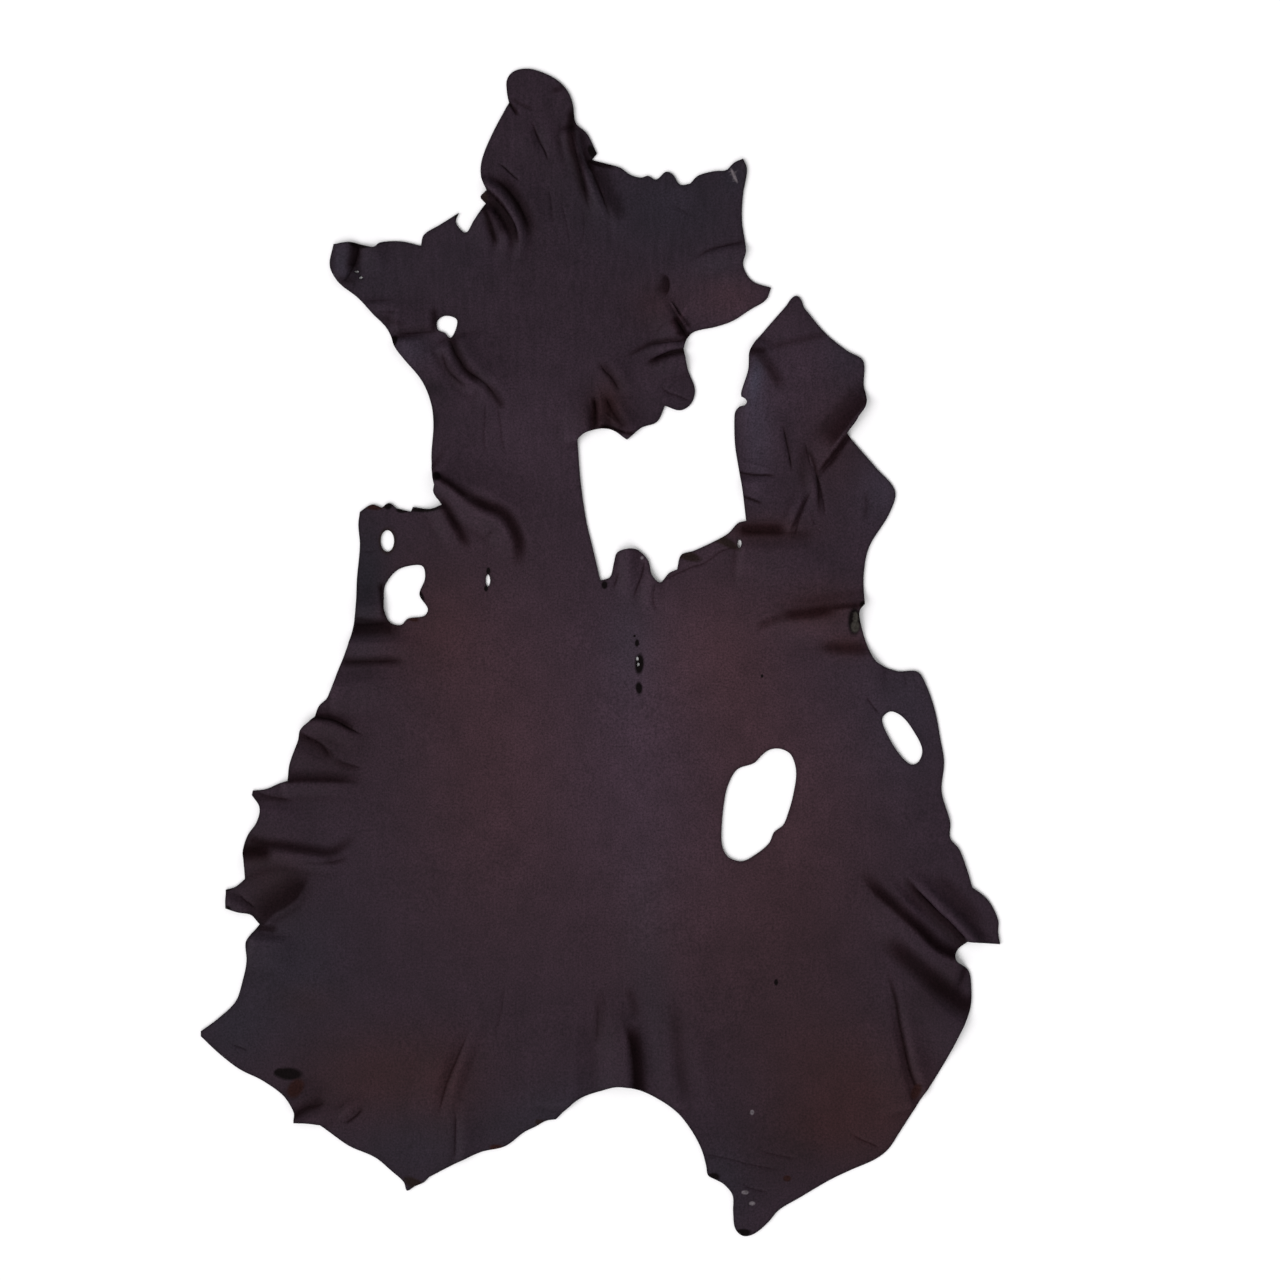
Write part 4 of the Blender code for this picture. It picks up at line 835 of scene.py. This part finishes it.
def shaded(points, loops):
    """How much shade the bands put on each point.

    It is a band's strength on its line and falls off on each side as the square of one minus
    the squared share of that side's reach. A band fades in over BAND_RIM_FADE at an end by the
    rim and over BAND_FADE of its length at an end on the leather, and the deepest band counts.
    """
    total = np.zeros(len(points))
    for _, rows, left_reach, right_reach, strength in SHADES:
        line = smooth_line(places(rows), RIDGE_STEP)
        reaches = np.array([left_reach, right_reach]) * GRID
        near, distance, on_left, along, whole = beside(points, line, reaches.max())
        across = np.clip(distance / np.where(on_left, reaches[0], reaches[1]), 0.0, 1.0)
        share = strength * (1.0 - across**2)**2
        at_rim = rim_closeness(line[[0, -1]], loops, 0.010) > 0.0
        for from_end, by_rim in ((along, at_rim[0]), (whole - along, at_rim[1])):
            fade = BAND_RIM_FADE if by_rim else BAND_FADE * whole
            step = np.clip(from_end / fade, 0.0, 1.0)
            share = share * (0.5 * by_rim + (1.0 - 0.5 * by_rim) * step**2 * (3 - 2 * step))
        total[near] = np.maximum(total[near], share)
    return total


def waves(points):
    """Long, low waves of the sheet: a sum of sines, each along a direction of its own."""
    total = np.zeros(len(points))
    for length, direction, phase in WAVES:
        turn = math.radians(direction)
        along = points @ np.array([math.cos(turn), math.sin(turn)])
        total += np.sin(math.tau * along / length + math.radians(phase))
    return WAVE_HEIGHT * (total + len(WAVES))


def hollowness(points, lines):
    """How much higher the leather is on a ring around each point than at the point itself.

    It is above nought in a valley and below nought on a crest, and two rings are added up.
    """
    here = folded_height(points, lines)
    total = np.zeros(len(points))
    for ring in (0.003, 0.008):
        for turn in np.linspace(0.0, math.tau, 8, endpoint=False):
            around = points + ring * np.array([math.cos(turn), math.sin(turn)])
            total += folded_height(around, lines) - here
    return total / 16


def rim_closeness(points, loops, reach):
    """One at the rim or at a hole's edge, falling in a straight line to nought at the reach."""
    closeness = np.zeros(len(points))
    for loop in loops:
        closed = np.vstack([loop, loop[:1]])
        for first in range(0, len(loop), 12):
            near, distance, _, _, _ = beside(points, closed[first:first + 13], reach)
            closeness[near] = np.maximum(closeness[near], 1.0 - distance / reach)
    return closeness


def crest_points(lines):
    """Points along every crest and crease, so that the sheet bends exactly there."""
    return np.vstack([smooth_line(line, LINE_STEP) for line, *_ in lines])


def shade_points():
    """Points in rows on each shade band's line and beside it, so that it stays crisp."""
    rings = []
    for _, rows, left_reach, right_reach, _ in SHADES:
        line = smooth_line(places(rows), LINE_STEP)
        ahead = np.gradient(line, axis=0)
        ahead /= np.linalg.norm(ahead, axis=1)[:, None]
        left = np.column_stack([-ahead[:, 1], ahead[:, 0]])
        for off in (0.0, min(left_reach, 3.0), -min(right_reach, 3.0)):
            rings.append(line + off * GRID * left)
    return np.vstack(rings)


def mark_rings():
    """Points on each mark's outline and just inside and outside it, so that its edge is crisp."""
    rings = []
    for _, column, row, width, height, turn, _ in MARKS:
        count = max(8, round(math.pi * (width + height) / 2 * GRID / MARK_STEP))
        rings += [oval(column, row, width * size, height * size, turn, count)
                  for size in (0.45, 0.8, 1.0, 1.25)]
    return np.vstack(rings)


def lattice_points(lines, loops):
    """Points of four nested triangular lattices: the finest at creases, the widest on the flat.

    Folds, shade bands and the rim get the second and then the third of them.
    A point is i steps to the right and j steps along a line leaning 60 degrees. Each wider
    lattice keeps the points whose i and j are both even numbers of the last one's steps.
    """
    step = FINEST_LATTICE
    rise = step * math.sqrt(0.75)
    low, high = places([(LEFT_TIP_COLUMN, HIND_LEG_ROW), (RIGHT_TIP_COLUMN, HEAD_ROW)])
    j, i = np.mgrid[0:int((high[1] - low[1]) / rise) + 1, 0:int((high[0] - low[0]) / step) + 1]
    i = i - j // 2
    i, j = i.ravel(), j.ravel()
    points = low + np.column_stack([(i + j / 2) * step, j * rise])
    spacing = np.full(len(points), 8)
    for loop in loops:
        closed = np.vstack([loop, loop[:1]])
        for first in range(0, len(loop), 12):
            near, distance, _, _, _ = beside(points, closed[first:first + 13], 0.016)
            spacing[near] = np.minimum(spacing[near], np.where(distance < 0.005, 2, 4))
            spacing[near[distance < KEEP_OFF_LINES]] = 0
    for _, rows, *_ in SHADES:
        near, distance, _, _, _ = beside(points, smooth_line(places(rows), 0.006), 0.020)
        spacing[near] = np.minimum(spacing[near], np.where(distance < 0.012, 2, 4))
    for line, _, reaches, _, _, is_crease in lines:
        finest = 1 if is_crease else 2
        near, distance, on_left, _, _ = beside(points, line, reaches.max() + 0.012)
        beyond = distance - np.where(on_left, reaches[0], reaches[1])
        spacing[near] = np.minimum(spacing[near], np.where(beyond < 0.0, finest, np.where(
            beyond < 0.003, 2, 4)))
        spacing[near[distance < KEEP_OFF_LINES]] = 0
    wanted = (spacing > 0) & (i % np.maximum(spacing, 1) == 0) & (j % np.maximum(spacing, 1) == 0)
    return points[wanted]


def unit_normals(corners, faces):
    """Each corner's normal: the sum of its faces' cross products, brought to length one."""
    sides = corners[faces]
    cross = np.cross(sides[:, 1] - sides[:, 0], sides[:, 2] - sides[:, 0])
    normals = np.zeros_like(corners)
    for corner in range(3):
        np.add.at(normals, faces[:, corner], cross)
    return normals / np.maximum(np.linalg.norm(normals, axis=1), 1e-12)[:, None]


def rim_sides(faces):
    """The sides that only one face has, each in that face's direction."""
    sides = np.vstack([faces[:, [0, 1]], faces[:, [1, 2]], faces[:, [2, 0]]])
    lowest = np.sort(sides, axis=1)
    keys = lowest[:, 0] * (faces.max() + 1) + lowest[:, 1]
    _, first, count = np.unique(keys, return_index=True, return_counts=True)
    return sides[first[count == 1]]


def tinted(points):
    """The violet ground tone under all the patches.

    A patch's strength at a place is its own times e to minus the squared oval distance, and the
    ground tone is multiplied by the patch's tint to the power of that. Some patches paint light
    and shade rather than dye.
    """
    logs = np.log(np.array(TONES["violet"])) * np.ones((len(points), 1))
    for _, column, row, half_width, half_height, turn, tint, strength in PATCHES:
        offset = points - np.array(place(column, row))
        cosine, sine = math.cos(math.radians(turn)), math.sin(math.radians(turn))
        along = (offset[:, 0] * cosine + offset[:, 1] * sine) / (half_width * GRID)
        across = (offset[:, 1] * cosine - offset[:, 0] * sine) / (half_height * GRID)
        logs += strength * np.exp(-along**2 - across**2)[:, None] * np.log(TINTS[tint])
    return np.exp(logs)


def mark_shares(points):
    """For each tone, how much of it the marks put on each point: one within, fading at the edge."""
    shares = {}
    for _, column, row, width, height, turn, tone in MARKS:
        offset = points - np.array(place(column, row))
        cosine, sine = math.cos(math.radians(turn)), math.sin(math.radians(turn))
        along = (offset[:, 0] * cosine + offset[:, 1] * sine) / (width * GRID / 2)
        across = (offset[:, 1] * cosine - offset[:, 0] * sine) / (height * GRID / 2)
        share = np.clip((1.2 - np.hypot(along, across)) / 0.35, 0.0, 1.0)
        shares[tone] = np.maximum(shares.get(tone, 0.0), share)
    return shares


def dye_painted_light_and_shade(points, hollow, closeness, shade):
    """The grain side's colour at each point as red, green and blue, and then its gloss.

    The ground tone is darker and browner in valleys and shade bands (painted shade), lighter on
    crests (painted light) and darker at the rim (partly the dark cut edge, partly painted shade);
    the marks' tones, some of them painted shade and sheen, are laid over it, and all of these are
    matt.
    """
    valley = np.clip(hollow / FULL_HOLLOW, 0.0, 1.0)[:, None]
    crest = np.clip(-hollow / FULL_HOLLOW, 0.0, 1.0)[:, None]
    colour = tinted(points) * (1.0 + CREST_PAINTED_LIGHT * crest) * (1.0 - np.array(VALLEY_PAINTED_SHADE) * valley)
    colour = colour * np.array(TINTS["shade"])**shade[:, None]
    colour = colour * (1.0 - RIM_EDGE_AND_PAINTED_SHADE * np.clip(closeness, 0.0, 1.0)[:, None]**2)
    matt = np.maximum(valley, np.clip(shade[:, None] / MATT_SHADE, 0.0, 1.0))
    gloss = 1.0 - MATT_LOSS * matt
    for tone, share in mark_shares(points).items():
        colour = colour + (np.array(TONES[tone]) - colour) * share[:, None]
        gloss = gloss * (1.0 - MATT_LOSS * share[:, None])
    return np.column_stack([colour, gloss])


def hide_mesh():
    """The whole hide as one closed mesh: underside, grain side and the cut edge between them.

    The outline, the holes, the lines and the lattice are joined into triangles on the ground,
    the underside is lifted to the folds' height where that is above the floor, softly within
    SOFT_CONTACT of it, and the grain side stands off it along its normals by the leather's
    thickness.
    """
    rim = rim_loop()
    holes = hole_loops()
    loops = [rim] + holes
    edges = []
    first = 0
    for loop in loops:
        numbers = np.arange(first, first + len(loop))
        edges += np.column_stack([numbers, np.roll(numbers, -1)]).tolist()
        first += len(loop)
    lines = ridge_lines(loops)
    inner = np.vstack([crest_points(lines), shade_points(), mark_rings(),
                       lattice_points(lines, loops)])
    inner = inner[on_leather(inner, rim, holes)]
    inner = inner[rim_closeness(inner, loops, KEEP_OFF_LINES) == 0.0]
    flat = np.vstack(loops + [inner])
    corners, _, faces, _, _, _ = delaunay_2d_cdt(flat.tolist(), edges, [], 0, MERGE_WITHIN)
    corners = np.array([tuple(corner) for corner in corners])
    faces = np.array(faces)
    faces = faces[on_leather(corners[faces].mean(axis=1), rim, holes)]
    used, faces = np.unique(faces, return_inverse=True)
    faces = faces.reshape(-1, 3)
    corners = corners[used]

    lift = folded_height(corners, lines) + waves(corners)
    under = np.column_stack([corners, (lift + np.sqrt(lift**2 + SOFT_CONTACT**2)) / 2])
    grain = under + unit_normals(under, faces) * LEATHER_THICKNESS
    count = len(corners)
    side = rim_sides(faces)
    wall = np.vstack([np.column_stack([side[:, 0], side[:, 1], side[:, 1] + count]),
                      np.column_stack([side[:, 0], side[:, 1] + count, side[:, 0] + count])])
    triangles = np.vstack([faces + count, faces[:, ::-1], wall])
    finish = np.concatenate([np.zeros(len(faces)), np.ones(len(faces)), np.full(len(wall), 2)])

    mesh = bpy.data.meshes.new("hide_skin")
    mesh.vertices.add(2 * count)
    mesh.vertices.foreach_set("co", np.vstack([under, grain]).ravel())
    mesh.loops.add(3 * len(triangles))
    mesh.loops.foreach_set("vertex_index", triangles.ravel())
    mesh.polygons.add(len(triangles))
    mesh.polygons.foreach_set("loop_start", np.arange(len(triangles)) * 3)
    mesh.polygons.foreach_set("material_index", finish.astype(int))
    mesh.update(calc_edges=True)
    mesh.shade_smooth()
    mesh.set_sharp_from_angle(angle=math.radians(SHARP_ANGLE))

    hollow = hollowness(corners, lines)
    closeness = rim_closeness(corners, loops, RIM_DARK_REACH)
    colours = dye_painted_light_and_shade(corners, hollow, closeness, shaded(corners, loops))
    # The point colours hold the dye together with its painted light and shade.
    layer = mesh.color_attributes.new("dye_painted_light_and_shade", "FLOAT_COLOR", "POINT")
    layer.data.foreach_set("color", np.vstack([colours, colours]).ravel())
    return mesh


def new_material(name):
    """An empty material with a Principled shader, and the two handles used to wire it."""
    material = bpy.data.materials.new(name)
    material.use_nodes = True
    tree = material.node_tree
    return material, tree, tree.nodes["Principled BSDF"]


def add_node(tree, kind, links=None, **values):
    """A node of that kind: values set its properties, links set or connect its inputs."""
    node = tree.nodes.new(kind)
    for name, value in values.items():
        setattr(node, name, value)
    for name, value in (links or {}).items():
        if isinstance(value, bpy.types.NodeSocket):
            tree.links.new(value, node.inputs[name])
        else:
            node.inputs[name].default_value = value
    return node


def noise(tree, where, scale, detail, roughness=0.5):
    """Cloudy noise of that scale, from nought to one."""
    return add_node(tree, "ShaderNodeTexNoise", {"Vector": where, "Scale": scale, "Detail": detail,
                                                 "Roughness": roughness}).outputs["Fac"]


def mapped(tree, value, start, end, low, high):
    """The value's range from start to end, spread over low to high."""
    return add_node(tree, "ShaderNodeMapRange", {
        "Value": value, "From Min": start, "From Max": end, "To Min": low, "To Max": high,
    }).outputs["Result"]


def drawn_out(tree, where, scales):
    """Coordinates scaled by a number for each axis, so that a noise is drawn out along one."""
    return add_node(tree, "ShaderNodeMapping", {"Vector": where,
                                                "Scale": scales}).outputs["Vector"]


def worked_out(tree, operation, *values):
    """The values put through one maths operation."""
    return add_node(tree, "ShaderNodeMath", dict(enumerate(values)),
                    operation=operation).outputs["Value"]


def toned(tree, colour, gain):
    """The colour, lighter or darker by the gain."""
    return add_node(tree, "ShaderNodeVectorMath", {0: colour, "Scale": gain},
                    operation="SCALE").outputs["Vector"]


def relief(tree, height, strength, distance, **under):
    """A bump, laid over the normal that is given."""
    return add_node(tree, "ShaderNodeBump", {"Height": height, "Strength": strength,
                                             "Distance": distance, **under}).outputs["Normal"]


def grain_side():
    """The dyed grain: clouded colour, fine pebbles and pores in bump, and a soft uneven gloss.

    Towards the head the colour is drawn into streaks that run along the neck.
    """
    material, tree, shader = new_material("grain side")
    where = add_node(tree, "ShaderNodeTexCoord").outputs["Object"]
    # The point colours: the dye with its painted light and shade.
    layer = add_node(tree, "ShaderNodeVertexColor", layer_name="dye_painted_light_and_shade")
    clouds = noise(tree, where, 26.0, 5.0, 0.6)
    specks = noise(tree, where, 420.0, 3.0, 0.7)
    gain = worked_out(tree, "MULTIPLY", mapped(tree, clouds, 0.3, 0.7, 0.86, 1.14),
                      mapped(tree, specks, 0.3, 0.7, 0.55, 1.45))
    streaks = noise(tree, drawn_out(tree, where, (150.0, 27.0, 1.0)), 1.0, 5.0)
    along = add_node(tree, "ShaderNodeSeparateXYZ", {"Vector": where}).outputs["Y"]
    neck = mapped(tree, along, 0.1, 0.45, 0.2, 0.76)
    streak_gain = worked_out(tree, "MULTIPLY_ADD", worked_out(tree, "SUBTRACT", streaks, 0.5),
                             neck, 1.0)
    colour = toned(tree, layer.outputs["Color"], worked_out(tree, "MULTIPLY", gain, streak_gain))
    pebbles = add_node(tree, "ShaderNodeTexVoronoi", {"Vector": where, "Scale": 780.0,
                                                      "Randomness": 1.0}).outputs["Distance"]
    wrinkles = noise(tree, drawn_out(tree, where, (300.0, 60.0, 60.0)), 1.0, 4.0)
    grain = relief(tree, pebbles, 0.35, 0.00025)
    for name, value in (
            ("Base Color", colour),
            ("Roughness", mapped(tree, clouds, 0.3, 0.7, 0.58, 0.7)),
            ("Normal", relief(tree, wrinkles, 0.4, 0.0008, Normal=grain)),
            ("Specular IOR Level", worked_out(tree, "MULTIPLY", layer.outputs["Alpha"], 0.085))):
        tree.links.new(value, shader.inputs[name])
    return material


def flesh_side():
    """The suede underside: a matt brown nap, clouded, with short fibres in bump."""
    material, tree, shader = new_material("flesh side")
    where = add_node(tree, "ShaderNodeTexCoord").outputs["Object"]
    gain = mapped(tree, noise(tree, where, 30.0, 4.0), 0.3, 0.7, 0.8, 1.2)
    nap = noise(tree, where, 900.0, 6.0, 0.75)
    tree.links.new(toned(tree, TONES["flesh"], gain), shader.inputs["Base Color"])
    tree.links.new(relief(tree, nap, 0.6, 0.0006), shader.inputs["Normal"])
    shader.inputs["Roughness"].default_value = 0.92
    shader.inputs["Specular IOR Level"].default_value = 0.25
    shader.inputs["Sheen Weight"].default_value = 0.25
    return material


def cut_edge():
    """The knife-cut edge: matt, between the grain side and the flesh side in tone."""
    material, tree, shader = new_material("cut edge")
    where = add_node(tree, "ShaderNodeTexCoord").outputs["Object"]
    gain = mapped(tree, noise(tree, where, 1400.0, 4.0), 0.3, 0.7, 0.7, 1.3)
    tree.links.new(toned(tree, TONES["cut edge"], gain), shader.inputs["Base Color"])
    shader.inputs["Roughness"].default_value = 0.85
    return material


def add_hide():
    """The hide with its three finishes, riding on the part's one body in place of its solid."""
    mesh = hide_mesh()
    for finish in (grain_side(), flesh_side(), cut_edge()):
        mesh.materials.append(finish)
    hide = bpy.data.objects.new("hide_skin", mesh)
    bpy.context.scene.collection.objects.link(hide)
    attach(hide, "root")
    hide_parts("hide")


def add_floor():
    """A wide pale floor just under the hide."""
    width, drop = 80.0, 0.0002
    bpy.ops.mesh.primitive_plane_add(size=width, location=(0.0, 0.0, -drop))
    floor = bpy.context.object
    floor.name = "floor"
    material, _, shader = new_material("pale floor")
    shader.inputs["Base Color"].default_value = (*TONES["floor"], 1.0)
    shader.inputs["Roughness"].default_value = 0.9
    shader.inputs["Specular IOR Level"].default_value = 0.1
    floor.data.materials.append(material)


def add_sky_light(name, azimuth, elevation, strength, spread, colour):
    """A broad far light: it comes from that side (0 from +Y, 90 from +X) at that elevation."""
    light = bpy.data.lights.new(name, "SUN")
    light.energy = strength
    light.angle = math.radians(spread)
    light.color = colour
    lamp = bpy.data.objects.new(name, light)
    turn, rise = math.radians(azimuth), math.radians(elevation)
    lamp.rotation_euler = (math.pi / 2 - rise, 0.0, math.pi - turn)
    bpy.context.scene.collection.objects.link(lamp)


def add_lights():
    """Soft light from all round, stronger from the left and from the foot of the hide."""
    for name, azimuth, strength in (("left light", 255, 1.75), ("foot light", 195, 1.25)):
        add_sky_light(name, azimuth, 44, strength, 44, (1.0, 0.98, 1.0))
    world = bpy.data.worlds.new("room")
    world.use_nodes = True
    sky = world.node_tree.nodes["Background"]
    sky.inputs["Color"].default_value = (1.0, 1.0, 1.0, 1.0)
    sky.inputs["Strength"].default_value = 0.52
    bpy.context.scene.world = world
    bpy.context.scene.view_settings.view_transform = "Standard"


def add_camera():
    """A long lens straight above, so that the whole laying-out grid fills the picture."""
    lens, sensor = 85.0, 36.0
    camera = bpy.data.cameras.new("camera")
    camera.lens = lens
    camera.sensor_width = sensor
    camera.clip_end = 200.0
    above = bpy.data.objects.new("camera", camera)
    above.location = (*place(PICTURE_SIZE / 2, PICTURE_SIZE / 2),
                      PICTURE_SIZE * GRID * lens / sensor)
    bpy.context.scene.collection.objects.link(above)
    bpy.context.scene.camera = above


add_hide()
add_floor()
add_lights()
add_camera()
